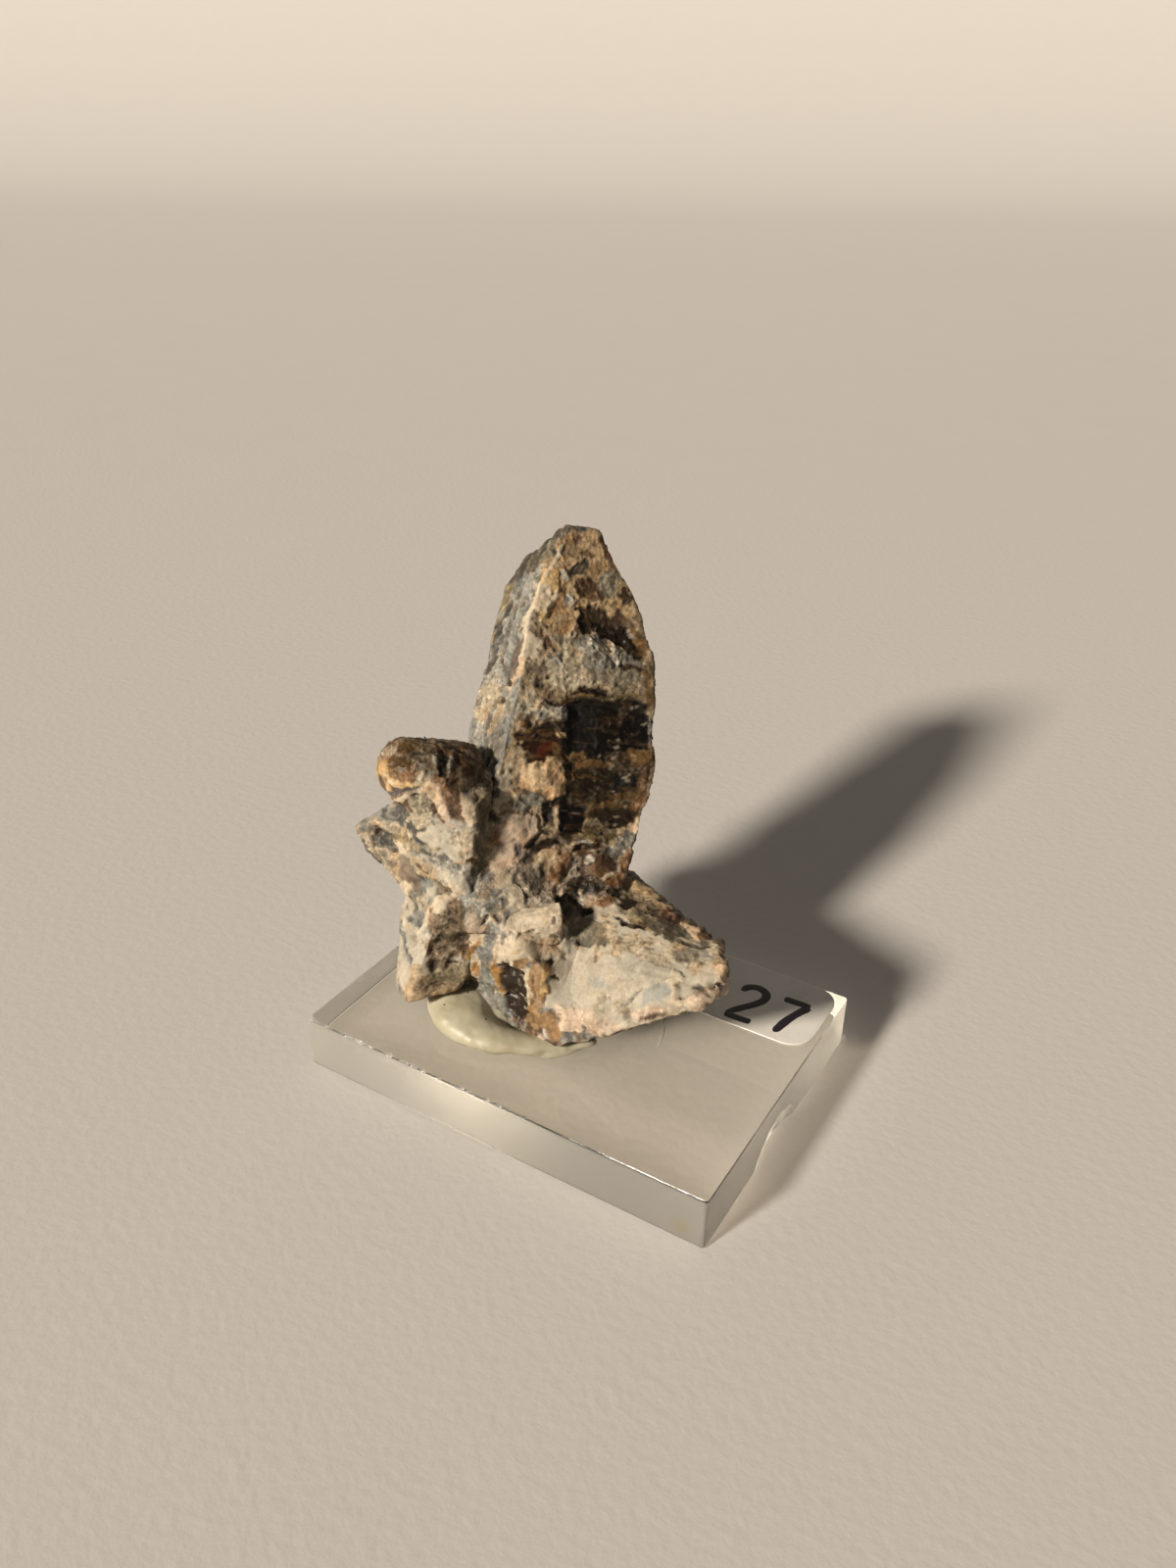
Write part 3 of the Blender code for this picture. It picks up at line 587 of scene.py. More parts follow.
def soft_step(values, edge, softness):
    """0 below an edge and 1 above it, with a smooth ramp between. The pairs below whose names end
    in EDGE hold such an edge and its softness."""
    ramp = np.clip((values - edge) / softness + 0.5, 0.0, 1.0)
    return ramp * ramp * (3.0 - 2.0 * ramp)


def soft_span(values, span, softness):
    """1 inside a span and 0 outside it, with smooth ends."""
    return soft_step(values, span[0], softness) * (1.0 - soft_step(values, span[1], softness))


print("noise at one point:", round(float(smooth_noise(np.array([[1.3, 2.1, 0.4]]), 1)[0]), 3))

# %% [markdown]
# ## Large relief
# The lumps, the pits and the cleaved panel that the solids have are repeated here. Worn edges
# come from a soft maximum: near an edge two faces are almost equally close, so the log of the
# summed closeness is above zero there and pulls the skin inwards. Where two crystals meet, the
# skin swells into a small fillet, like the crust that fills such joints.

# %% Lumps and pits
LUMPS = (
    ("hollow under the main crystal", (-0.8, 1.2, 18.9), 2.0, -1.4),
    ("crumbled foot of the main crystal", (-2.2, 2.6, 20.6), 2.2, -0.6),
    ("shelf above the crumbled foot", (-1.6, 5.4, 23.2), 1.8, 0.5),
    ("dark glassy hollow near the top", (-8.6, 20.0, 39.8), 3.2, -0.5),
    ("grey crust", (-8.9, 16.4, 37.2), 2.8, 0.35),
    ("tan blistered patch", (-8.2, 5.2, 28.6), 2.4, 0.3),
    ("pink patch", (-8.5, 0.2, 25.4), 2.2, 0.35),
    ("nick in the right edge", (-0.6, 12.6, 27.0), 1.2, -0.5),
    ("nick in the right shoulder", (-6.2, 22.4, 37.2), 1.3, -0.45),
    ("chipped top", (-12.4, 23.0, 47.6), 1.3, -0.5),
    ("pit in the left face", (-16.6, 10.2, 34.7), 1.0, -0.45),
    ("second pit in the left face", (-17.8, 9.8, 32.6), 1.2, -0.4),
    ("barrel window", (-18.9, -5.9, 32.4), 2.2, -0.35),
    ("barrel collar", (-17.0, -6.4, 29.4), 1.6, 0.3),
    ("hollow of the barrel neck", (-17.2, -6.6, 27.4), 1.5, -0.5),
    ("wedge hollow", (-18.4, -7.0, 22.6), 1.5, -0.35),
    ("hole left of the knob", (-6.4, -6.0, 18.8), 1.1, -0.7),
    ("pit in the lower left crystal", (-14.0, -9.8, 15.3), 0.9, -0.5),
    ("rough hollow of the lower left crystal", (-11.0, -9.6, 14.6), 2.2, -0.4),
    ("cleaved window", (-3.6, -6.4, 10.6), 1.9, -0.5),
    ("brown rib", (-0.4, -7.0, 10.8), 1.7, 0.35),
    ("hood over the cleaved window", (-3.2, -6.7, 16.7), 2.6, 0.8),
    ("filled neck between the barrel and its waist", (-12.3, -4.2, 28.9), 2.8, 0.8),
    ("lump on the prong's tip", (15.2, -4.6, 16.8), 1.5, 0.6),
    ("second lump on the prong's tip", (15.7, -0.4, 18.4), 1.2, 0.35),
    ("pale knob on the prong's tip", (14.1, 2.2, 18.6), 1.3, 0.6),
    ("notch in the prong's tip", (15.9, -2.6, 17.7), 0.9, -0.8),
    ("nick above the tip's notch", (15.2, 1.0, 18.9), 0.8, -0.5),
    ("hollow along the prong's ridge", (9.6, 5.6, 19.6), 2.4, -0.5),
    ("fold in the prong", (8.6, -5.6, 14.4), 1.6, -0.4),
    ("lump under the fold", (5.4, -6.8, 11.4), 2.0, 0.45),
    ("hollow on the prong's back", (1.6, 6.1, 18.2), 1.5, -0.35),
)


def lump_relief(points):
    """The height of the named lumps and pits: a smooth dome round each centre."""
    relief = np.zeros(len(points))
    for _name, centre, radius, height in LUMPS:
        reach = np.linalg.norm(points - np.array(centre), axis=1) / radius
        relief += height * np.clip(1.0 - reach ** 2, 0.0, 1.0) ** 2
    return relief


print(len(LUMPS), "lumps and pits")

# %% Edges, ribs and joints
PANEL_ACROSS = (-9.5, -0.2)
PANEL_ALONG = (6.4, 20.0)
PANEL_DEPTH = 0.4
PANEL_SOFTNESS = 0.35
PANEL_WANDER, PANEL_WANDER_SIZE = 1.1, 2.4
PANEL_END_WANDER = 0.4
RIB_SPACING, RIB_HEIGHT = 1.7, 0.16
FACING_EDGE, ABOVE_ROOT_EDGE = (0.8, 0.3), (3.0, 3.0)
JOINT_FILLET = 1.4


def own_places(name, points):
    """Points in the crystal's own axes, from its root."""
    return (points - np.array(CRYSTALS[name]["root"])) @ AXES[name].T


def face_shares(points, normals, distances, softness):
    """How much each face owns a point, the blended normal and the soft maximum above zero."""
    closeness = np.exp((points @ normals.T - distances) / softness)
    total = closeness.sum(axis=1)
    shares = closeness / total[:, None]
    blended = shares @ normals
    blended /= np.linalg.norm(blended, axis=1)[:, None]
    return shares, blended, softness * np.log(total)


def main_relief(points, normals):
    """The main crystal's growth ribs and the cleaved panel on its front face."""
    own = own_places("main", points)
    names = list(CRYSTALS["main"]["faces"])
    front, left = (PLANES["main"][0][names.index(face)] for face in ("front", "left"))
    faces_front = soft_step(normals @ front, *FACING_EDGE)
    faces_left = soft_step(normals @ left, *FACING_EDGE)
    near_main = soft_step(own[:, 2], *ABOVE_ROOT_EDGE)
    wander = PANEL_WANDER * smooth_noise(points / PANEL_WANDER_SIZE, SEEDS["panel edge"])
    on_panel = soft_span(own[:, 1] + wander, PANEL_ACROSS, PANEL_SOFTNESS)
    on_panel *= soft_span(own[:, 2] + PANEL_END_WANDER * wander, PANEL_ALONG, PANEL_SOFTNESS)
    ribs = np.sin(2.0 * math.pi * own[:, 0] / RIB_SPACING)
    return near_main * (faces_left * RIB_HEIGHT * ribs - faces_front * on_panel * PANEL_DEPTH)


def joint_fillet(name, points):
    """Outward swell near the other crystals: k/4 (1 - |g|/k)^2 at a distance g from one."""
    swell = np.zeros(len(points))
    for other, (normals, distances) in PLANES.items():
        if other != name:
            gap = np.abs((points @ normals.T - distances).max(axis=1)) / JOINT_FILLET
            swell = np.maximum(swell, JOINT_FILLET / 4 * np.clip(1.0 - gap, 0.0, 1.0) ** 2)
    return swell


print("the cleaved panel is", round(PANEL_ALONG[1] - PANEL_ALONG[0], 1), "mm long")

# %% [markdown]
# ## Finishes and markings
# The rock is many minerals at once: black glassy breaks, olive and amber windows, grey crust,
# chalky cream skin, rust. Each finish is a colour, a gloss, a graininess and a fibrousness, and
# how strongly it breaks into ledges. Every face has two finishes that a noise divides, and
# named markings lie over them: each is an oval (or a rounder box, at a higher power) in the
# plane of its face, with a ragged border and a height of its own.

# %% Finishes
FINISHES = {
    # name: (red, green, blue, gloss, grain, fibre, ledge)
    "chalk": (0.355, 0.322, 0.258, 0.15, 0.22, 0.05, 0.0),
    "blue chalk": (0.265, 0.265, 0.235, 0.15, 0.22, 0.05, 0.0),
    "cream": (0.44, 0.375, 0.28, 0.2, 0.3, 0.15, 0.0),
    "pink cream": (0.45, 0.355, 0.268, 0.22, 0.4, 0.0, 0.0),
    "peach": (0.42, 0.31, 0.20, 0.25, 0.45, 0.2, 0.0),
    "cream grey": (0.285, 0.24, 0.17, 0.2, 0.7, 0.25, 0.0),
    "pale grey": (0.225, 0.21, 0.178, 0.3, 0.9, 0.2, 0.0),
    "white grain": (0.42, 0.39, 0.34, 0.5, 0.7, 0.0, 0.2),
    "grey": (0.15, 0.138, 0.115, 0.3, 0.8, 0.3, 0.0),
    "blue grey": (0.160, 0.160, 0.142, 0.25, 0.6, 1.0, 0.0),
    "dark grey": (0.055, 0.052, 0.046, 0.35, 0.7, 0.4, 0.0),
    "coarse grey": (0.22, 0.18, 0.135, 0.35, 1.0, 0.1, 0.2),
    "grey brown": (0.125, 0.092, 0.056, 0.35, 0.9, 0.2, 0.2),
    "brown grey": (0.13, 0.10, 0.07, 0.3, 0.4, 0.4, 0.0),
    "purple grey": (0.095, 0.078, 0.070, 0.45, 0.4, 0.3, 0.0),
    "grey olive": (0.14, 0.12, 0.085, 0.25, 0.6, 0.2, 0.0),
    "dark olive": (0.055, 0.047, 0.033, 0.35, 0.5, 0.5, 0.2),
    "olive": (0.022, 0.0135, 0.0055, 0.6, 0.35, 0.1, 1.0),
    "olive gold": (0.11, 0.08, 0.035, 0.5, 0.5, 0.2, 0.8),
    "olive sand": (0.20, 0.165, 0.10, 0.3, 0.6, 0.4, 0.2),
    "gold brown": (0.10, 0.056, 0.020, 0.6, 0.45, 0.2, 0.6),
    "gold cream": (0.42, 0.29, 0.14, 0.4, 0.45, 0.1, 0.0),
    "caramel": (0.215, 0.132, 0.060, 0.5, 0.35, 0.5, 0.1),
    "orange": (0.22, 0.105, 0.040, 0.4, 0.5, 0.1, 0.0),
    "ochre": (0.26, 0.145, 0.040, 0.3, 0.5, 0.1, 0.0),
    "rust": (0.14, 0.075, 0.034, 0.4, 0.7, 0.2, 0.2),
    "red brown": (0.10, 0.055, 0.030, 0.5, 0.9, 0.1, 0.3),
    "red": (0.05, 0.011, 0.005, 0.85, 0.12, 0.1, 0.4),
    "dark red": (0.018, 0.007, 0.004, 0.8, 0.2, 0.1, 0.8),
    "brown": (0.085, 0.048, 0.023, 0.4, 0.6, 0.5, 0.3),
    "dark brown": (0.032, 0.018, 0.0095, 0.5, 0.5, 0.5, 0.4),
    "black brown": (0.011, 0.0062, 0.0030, 0.6, 0.45, 0.2, 0.5),
    "black": (0.0030, 0.0016, 0.0009, 0.66, 0.15, 0.3, 0.35),
    "blue black": (0.0065, 0.0055, 0.005, 0.65, 0.12, 0.1, 0.6),
    "tan": (0.275, 0.192, 0.105, 0.3, 0.6, 0.1, 0.0),
    "tan grey": (0.245, 0.183, 0.112, 0.3, 0.75, 0.2, 0.0),
    "sand": (0.30, 0.23, 0.145, 0.25, 0.6, 0.3, 0.0),
    "blister": (0.38, 0.275, 0.165, 0.3, 0.55, 1.0, 0.0),
    "window": (0.019, 0.012, 0.008, 0.75, 0.12, 0.0, 0.0),
}
FACE_FINISHES = {
    # crystal: {face: (finish, second finish, share of the second)}; "" stands for the other faces
    "main": {
        "": ("dark brown", "cream grey", 0.35), "front": ("tan grey", "grey brown", 0.4),
        "left": ("blue grey", "pale grey", 0.35), "left_bevel": ("dark olive", "grey olive", 0.35),
        "top": ("tan", "tan grey", 0.45), "right": ("dark brown", "gold brown", 0.4),
        "right_shoulder": ("brown", "tan", 0.4), "right_peak": ("brown", "tan", 0.4),
        "back": ("black brown", "grey brown", 0.4), "back_left": ("blue grey", "dark grey", 0.5),
    },
    "prong": {
        "": ("chalk", "cream grey", 0.25), "upper_front": ("olive", "brown", 0.5),
        "back": ("brown", "sand", 0.4), "far": ("rust", "olive sand", 0.4),
        "keel": ("pink cream", "red brown", 0.3), "under": ("red brown", "pink cream", 0.4),
        "tip_back": ("peach", "olive", 0.4), "tip_under": ("pink cream", "peach", 0.4),
    },
    "lower": {
        "": ("grey", "brown", 0.4), "front": ("brown", "blue grey", 0.4),
        "left": ("dark grey", "blue grey", 0.5), "left_foot": ("blue grey", "dark grey", 0.4),
        "side": ("pink cream", "chalk", 0.4), "side_foot": ("gold brown", "rust", 0.4),
        "back": ("dark brown", "grey brown", 0.4),
    },
    "lower_left": {
        "": ("grey brown", "sand", 0.35), "front": ("coarse grey", "grey brown", 0.4),
        "front_foot": ("chalk", "blue grey", 0.4), "left": ("chalk", "blue grey", 0.45),
        "sole": ("peach", "sand", 0.4), "sole_right": ("tan", "ochre", 0.3),
    },
    "wedge": {"": ("cream grey", "dark grey", 0.35), "front": ("cream grey", "blue grey", 0.4)},
    "spur": {"": ("brown grey", "cream", 0.3), "tip_front": ("cream", "chalk", 0.4)},
    "barrel": {
        "": ("grey brown", "brown", 0.45), "front": ("cream grey", "brown", 0.35),
        "front_foot": ("sand", "brown", 0.4),
        "front_left": ("gold cream", "gold brown", 0.4), "left": ("gold cream", "sand", 0.4),
        "brow": ("grey brown", "pale grey", 0.35), "right": ("brown", "grey brown", 0.5),
        "crown": ("grey brown", "dark brown", 0.4), "crown_front": ("grey brown", "gold brown", 0.4),
    },
    "waist": {
        "": ("cream grey", "grey", 0.35), "front": ("chalk", "pale grey", 0.4),
        # The waist's right foot is painted dark brown as painted shade in the gap between the neck
        # and the main crystal.
        "front_left": ("cream grey", "dark grey", 0.3), "right_foot": ("dark brown", "brown", 0.3),
    },
    "core": {
        "": ("coarse grey", "cream grey", 0.4), "brow": ("pale grey", "cream", 0.45),
        "front": ("cream", "blue grey", 0.35), "front_right": ("cream", "peach", 0.35),
        "front_left": ("coarse grey", "grey", 0.4), "right": ("chalk", "peach", 0.3),
    },
    "knob": {"": ("cream", "chalk", 0.4)},
}
print(len(FINISHES), "finishes")

# %% Markings
# crystal: (title, finish, centre's x, y, z, long and short half size, turn of the long one,
#           height, power)
MARKINGS = {"main": (
    ("upper crust", "tan", -11.7, 19.4, 42.6, 8.9, 4.9, -81, 0, 3),
    ("grey crumbled middle", "cream grey", -9.4, 15.7, 37.6, 5.7, 2.8, 4, 0.05, 3),
    ("grey crumbled middle right", "grey", -7.3, 17.4, 36.5, 3.3, 1.5, 3, 0, 3),
    ("dark lower half", "olive", -4.6, 11.1, 29.1, 6.4, 5.5, 78, 0, 6),
    ("left strip of the front", "tan grey", -9.1, 3.3, 28.4, 4.4, 2.6, 79, 0, 4),
    ("front foot", "coarse grey", -2.9, 1.9, 20.8, 7.5, 3.0, 4, 0, 3),
    ("main dark cap", "dark grey", -15.3, 22.3, 48.6, 2.5, 0.77, 7, 0.1, 3),
    ("olive bevel", "dark olive", -20.9, 24.2, 45.2, 7.3, 2.8, -27, 0, 4),
    ("pale bevel edge", "grey olive", -16.2, 19.2, 47.4, 2.3, 0.41, 59, 0, 3),
    ("tan top", "tan", -14.0, 21.6, 46.7, 2.6, 2.3, -4, 0.1, 3),
    ("brown speck in the top", "brown", -14.7, 22.0, 47.8, 0.57, 0.43, 20, -0.1, 2),
    ("second brown speck", "brown", -13.3, 22.0, 46.3, 0.63, 0.35, -21, -0.1, 2),
    ("grey grain in the top", "pale grey", -14.0, 18.8, 44.7, 0.67, 0.53, 21, 0.1, 2),
    ("dark nick in the top", "dark olive", -13.4, 20.7, 45.4, 1.0, 0.52, 61, -0.2, 2),
    ("rust rim at the top right", "brown", -12.2, 23.8, 46.4, 1.8, 0.59, -63, 0.05, 2),
    ("brown rim below it", "brown", -11.0, 23.2, 44.7, 0.84, 0.59, -59, 0, 2),
    ("golden blob", "gold cream", -14.9, 17.2, 44.6, 1.4, 0.92, 38, 0.25, 2),
    ("amber blob", "caramel", -14.1, 16.8, 43.4, 1.3, 0.62, 24, 0.15, 2),
    ("golden lens", "gold cream", -14.2, 15.0, 42.2, 1.5, 0.88, -76, 0.2, 2),
    ("red brown block", "brown", -11.8, 20.3, 43.4, 1.5, 1.2, 0, -0.05, 3),
    ("pale striped wedge", "pale grey", -12.8, 17.6, 42.5, 0.93, 0.8, -28, 0.15, 2),
    ("pale olive corner", "grey olive", -10.8, 22.1, 43.6, 1.5, 1.3, -45, 0.05, 2),
    ("dark brown corner", "dark brown", -8.8, 22.8, 42.0, 0.94, 0.71, -45, 0, 2),
    ("dark glassy hollow", "dark brown", -9.3, 19.6, 40.2, 3.3, 1.6, -13, -0.35, 3),
    ("black heart of the hollow", "black brown", -8.7, 19.8, 39.8, 2.2, 0.9, -14, -0.1, 2),
    ("brown spur in the hollow", "brown", -8.6, 21.3, 40.7, 0.94, 0.35, -34, 0.1, 2),
    ("dark glassy hollow low", "black brown", -6.6, 20.4, 37.9, 1.7, 1.1, -51, -0.3, 2),
    ("black notch", "black", -11.0, 17.3, 40.4, 1.0, 0.68, -71, -0.2, 2),
    ("brown rim of the hollow", "gold brown", -6.3, 21.2, 38.2, 1.8, 0.47, -59, 0.05, 2),
    ("purple grey spot", "purple grey", -13.4, 12.4, 39.5, 1.0, 0.75, -84, 0, 2),
    ("red brown spot", "red brown", -12.8, 13.3, 39.4, 0.92, 0.55, -70, -0.15, 2),
    ("second red brown spot", "red brown", -13.6, 13.5, 40.5, 0.62, 0.44, -20, -0.1, 2),
    ("grey crust rim", "pale grey", -9.3, 17.4, 38.7, 2.1, 0.86, 1, 0.35, 2),
    ("grey crust", "pale grey", -9.2, 17.0, 38.3, 1.9, 0.86, 1, 0.1, 2),
    ("grey crust low", "grey", -8.4, 16.5, 37.1, 1.6, 0.85, 9, 0.15, 2),
    ("white grains right of the crust", "white grain", -7.4, 18.3, 37.2, 0.94, 0.45, -75, 0.2, 2),
    ("pale grains", "pale grey", -11.6, 13.0, 38.0, 0.98, 0.73, 14, 0.2, 2),
    ("blue grey spot", "blue grey", -10.7, 12.9, 37.0, 0.65, 0.42, 10, 0, 2),
    ("brown patch on the ridge", "brown grey", -12.5, 10.8, 37.3, 0.95, 0.53, -1, 0, 2),
    ("crumbled cream zone", "cream grey", -9.8, 12.9, 36.0, 2.6, 1.0, 7, 0.15, 3),
    ("dark strip by the rim", "dark brown", -5.7, 18.9, 35.9, 1.4, 0.44, -2, -0.2, 2),
    ("olive gold ledge", "grey olive", -6.5, 17.1, 35.5, 3.1, 0.75, 2, 0.15, 3),
    ("gold rim", "gold brown", -4.0, 19.3, 34.4, 2.1, 0.45, -88, 0, 2),
    ("dark gap", "black brown", -7.5, 14.4, 34.7, 2.0, 0.42, 2, -0.35, 2),
    ("ledge line", "olive gold", -6.7, 15.0, 34.1, 4.9, 0.21, 6, 0.15, 4),
    ("black block", "black", -5.5, 13.3, 31.6, 4.9, 2.8, 8, -0.3, 8),
    ("brown top corner of the block", "dark brown", -9.6, 10.7, 34.2, 1.1, 0.41, 7, 0, 2),
    ("smooth black column", "blue black", -6.7, 11.5, 31.7, 2.7, 1.2, 90, -0.15, 6),
    ("brown streak in the block", "dark brown", -4.5, 15.8, 32.4, 1.3, 0.55, 89, 0.05, 4),
    ("grey crust lobe", "pale grey", -10.2, 9.4, 33.9, 2.0, 1.0, -2, 0.35, 2),
    ("white lobe", "cream grey", -11.8, 8.4, 34.9, 1.1, 0.81, 21, 0.15, 2),
    ("amber knob", "gold brown", -10.9, 6.9, 32.8, 0.95, 0.71, 11, 0.25, 2),
    ("dark red block", "dark red", -9.5, 6.9, 31.4, 2.4, 1.6, 9, -0.1, 4),
    ("red cube", "dark red", -9.8, 6.6, 31.5, 0.64, 0.6, 39, 0.1, 4),
    ("second red cube", "red", -9.0, 6.9, 30.9, 0.63, 0.51, 64, 0.1, 4),
    ("black gap beside the knob", "black brown", -9.4, 8.8, 32.6, 1.5, 0.52, 1, -0.3, 2),
    # The gold glints are a painted highlight: a small golden-cream spot.
    ("gold glints", "gold cream", -8.3, 9.2, 31.8, 0.62, 0.32, -13, 0.1, 2),
    ("orange stripes", "gold brown", -8.2, 7.6, 30.5, 0.83, 0.73, 76, 0, 2),
    ("golden spot", "gold brown", -6.8, 8.9, 29.9, 1.5, 0.82, 7, 0.05, 2),
    ("olive band", "olive", -3.4, 9.8, 26.9, 4.8, 3.3, 8, 0, 6),
    ("golden olive streak", "gold brown", -5.1, 10.2, 29.1, 2.4, 0.41, 2, 0.05, 2),
    ("golden right corner", "gold brown", -2.2, 14.3, 28.8, 1.2, 0.94, 12, 0.05, 2),
    ("blue black spot", "blue black", -2.2, 11.6, 27.0, 1.7, 0.82, 15, 0, 2),
    ("dark band", "black brown", -4.1, 8.6, 26.9, 2.2, 0.71, 19, -0.05, 2),
    ("gold column", "gold brown", -6.2, 7.4, 28.2, 1.0, 0.53, 90, 0.05, 2),
    ("rust at the right edge", "brown", -0.6, 12.6, 25.9, 2.7, 0.66, 88, 0, 2),
    ("gold streak", "gold brown", -2.9, 8.3, 25.3, 2.2, 0.3, 21, 0.05, 2),
    ("dark spot under it", "black brown", -1.4, 9.1, 24.2, 1.5, 0.81, 19, -0.05, 2),
    ("second gold streak", "olive gold", -2.4, 6.7, 23.7, 1.3, 0.3, 14, 0.05, 2),
    ("peach corner", "peach", 0.2, 9.8, 23.0, 1.0, 0.65, 88, 0, 2),
    ("dark rust corner", "rust", -0.4, 11.3, 24.7, 0.92, 0.67, -69, 0, 2),
    ("golden left strip", "gold brown", -10.3, 3.3, 29.7, 1.6, 0.62, -78, 0.1, 2),
    ("warm left strip", "sand", -10.2, 3.0, 29.4, 2.4, 0.91, 81, 0, 3),
    ("cream left edge", "cream", -10.5, 1.5, 28.6, 2.6, 0.5, 80, 0.1, 2),
    ("blistered patch", "blister", -8.0, 5.1, 28.5, 2.3, 2.0, 15, 0.3, 6),
    ("grey swirls", "grey", -8.2, 2.8, 27.1, 2.1, 1.1, -4, 0.2, 2),
    ("dark brown slot", "black brown", -6.3, 3.7, 25.7, 1.5, 0.73, -87, -0.3, 3),
    ("tan strip", "tan grey", -5.6, 3.8, 25.0, 0.9, 0.21, -87, 0, 2),
    ("black glassy rectangle", "black", -4.3, 5.0, 24.4, 2.0, 1.5, 88, -0.15, 8),
    ("light line in the rectangle", "grey", -4.9, 5.5, 25.5, 1.1, 0.08, -3, 0, 2),
    ("olive ledge", "olive gold", -2.3, 5.8, 22.9, 2.4, 0.5, 7, 0.2, 3),
    ("pale ledge line", "pale grey", -3.3, 3.9, 22.6, 1.5, 0.25, 13, 0.25, 2),
    ("grey lobe", "grey", -0.1, 7.7, 21.8, 1.9, 0.71, 38, 0.15, 3),
    ("dark gap under the ledge", "black brown", -2.4, 4.7, 22.2, 1.8, 0.3, 11, -0.35, 2),
    ("pink patch", "pink cream", -8.2, 0.3, 25.3, 2.0, 1.5, -12, 0.4, 3),
    ("black dot", "black", -8.2, -0.0, 25.1, 0.16, 0.14, 10, -0.15, 2),
    ("orange spot", "orange", -9.2, -1.6, 24.9, 0.5, 0.4, -21, 0.1, 2),
    ("cream foot", "pink cream", -8.1, -2.6, 23.1, 1.7, 1.1, -84, 0.1, 2),
    ("pink left foot", "pink cream", -7.8, -1.5, 23.5, 3.0, 1.3, 81, 0.05, 3),
    ("purple hollow", "purple grey", -7.4, -0.8, 23.5, 0.98, 0.61, -79, -0.15, 2),
    ("dark glitter", "black brown", -5.6, 1.7, 23.5, 1.4, 0.79, 14, -0.35, 2),
    ("tan grains", "sand", -4.9, 1.0, 22.2, 1.5, 0.89, 5, 0.15, 2),
    ("coarse grey foot", "coarse grey", -5.6, -1.3, 21.3, 1.9, 1.7, -7, 0.15, 3),
    ("orange flake", "rust", -3.7, 1.4, 21.2, 1.9, 0.51, 66, 0.25, 2),
    ("red brown folds", "brown", -1.1, 4.4, 20.6, 2.1, 1.1, -5, 0.1, 3),
    ("pink grains", "white grain", -1.7, 4.4, 21.2, 0.64, 0.4, 5, 0.15, 2),
    ("more pink grains", "white grain", -0.1, 4.7, 19.7, 0.75, 0.3, 22, 0.15, 2),
    ("orange wedge", "rust", 0.9, 7.3, 20.6, 1.6, 0.62, 54, 0.3, 2),
    ("rust below the wedge", "rust", 0.5, 4.8, 19.2, 1.1, 0.5, 22, 0.1, 2),
    ("dark glassy foot", "black brown", -1.2, 2.7, 19.4, 2.2, 1.1, -1, -0.1, 2),
    ("pink crystal", "pink cream", -2.3, 0.4, 19.0, 0.52, 0.39, 5, 0.2, 2),
    # The black of the black hollow is painted shade in the hollow under the main crystal.
    ("black hollow", "black", -1.5, 0.2, 18.1, 2.1, 0.99, -11, -0.6, 2),
    ("cream ridge top", "cream", -15.4, 18.7, 46.2, 2.5, 0.26, 65, 0.1, 2),
    ("cream ridge", "cream", -15.6, 14.8, 42.7, 3.0, 0.84, 67, 0.12, 2),
    ("cream ridge middle", "cream", -14.6, 11.8, 39.6, 2.8, 0.72, -76, 0.12, 2),
    ("peach ridge low", "peach", -14.6, 9.4, 36.1, 2.8, 0.64, 51, 0.12, 2),
    ("peach ridge foot", "sand", -15.3, 7.5, 32.4, 1.9, 0.67, 60, 0.1, 2),
    ("rust strip on the left face", "brown grey", -15.5, 11.1, 37.4, 2.5, 1.1, 79, 0.1, 2),
    ("grey shadow of the strip", "purple grey", -15.7, 10.7, 36.5, 1.5, 0.56, 79, -0.1, 2),
    ("olive left edge", "olive sand", -22.8, 19.5, 40.0, 2.9, 1.7, 39, 0.1, 2),
    ("orange left edge", "tan", -22.0, 16.6, 36.8, 1.9, 0.57, -83, 0.1, 2),
    ("dark left streak", "dark grey", -21.3, 16.9, 38.0, 2.8, 0.9, 60, -0.05, 2),
    ("dark left streak low", "dark grey", -20.6, 14.5, 35.4, 2.1, 1.1, 80, -0.05, 2),
    ("pit", "dark brown", -15.6, 10.0, 35.6, 1.2, 0.35, -26, -0.3, 2),
    ("round pit", "dark brown", -16.4, 9.3, 33.6, 1.4, 0.56, -22, -0.35, 2),
    ("small pit", "dark brown", -18.3, 12.8, 36.1, 0.55, 0.22, -28, -0.15, 2),
    ("cream lower left", "cream grey", -18.4, 10.4, 32.5, 2.6, 2.1, -12, 0.05, 2),
    ("blue streak low", "blue grey", -12.5, 6.0, 33.9, 2.4, 1.0, 66, 0, 3),
    ("cream streak low", "cream grey", -12.1, 6.8, 34.1, 2.1, 0.3, 68, 0.1, 3),
    ("blue streak lower", "blue grey", -13.6, 5.1, 31.3, 2.0, 1.1, 71, 0, 3),
    ("pink column", "pink cream", -7.3, -8.2, 18.2, 1.7, 0.69, -83, 0.15, 3),
    ("dark left pit", "black brown", 0.9, 4.4, 18.5, 0.64, 0.4, 5, -0.25, 2),
), "prong": (
    ("orange at the foot", "rust", 1.0, 2.8, 18.0, 1.0, 0.52, -26, 0.15, 2),
    ("rust of the tip", "rust", 15.8, -0.2, 17.3, 1.5, 0.48, 66, 0.05, 2),
    ("grey green shoulder", "grey olive", 0.9, -0.5, 16.7, 3.5, 1.1, 88, 0, 3),
    ("grey green shoulder right", "cream grey", 5.6, -0.8, 17.1, 2.9, 0.95, 78, 0, 3),
    ("tan streak 1", "peach", 1.1, -2.3, 14.9, 0.89, 0.31, 15, 0.03, 2),
    ("tan streak 2", "sand", 2.8, -2.4, 15.5, 0.98, 0.3, 15, 0.03, 2),
    ("chalk face", "chalk", 7.5, -4.2, 15.6, 5.0, 2.1, -86, 0, 3),
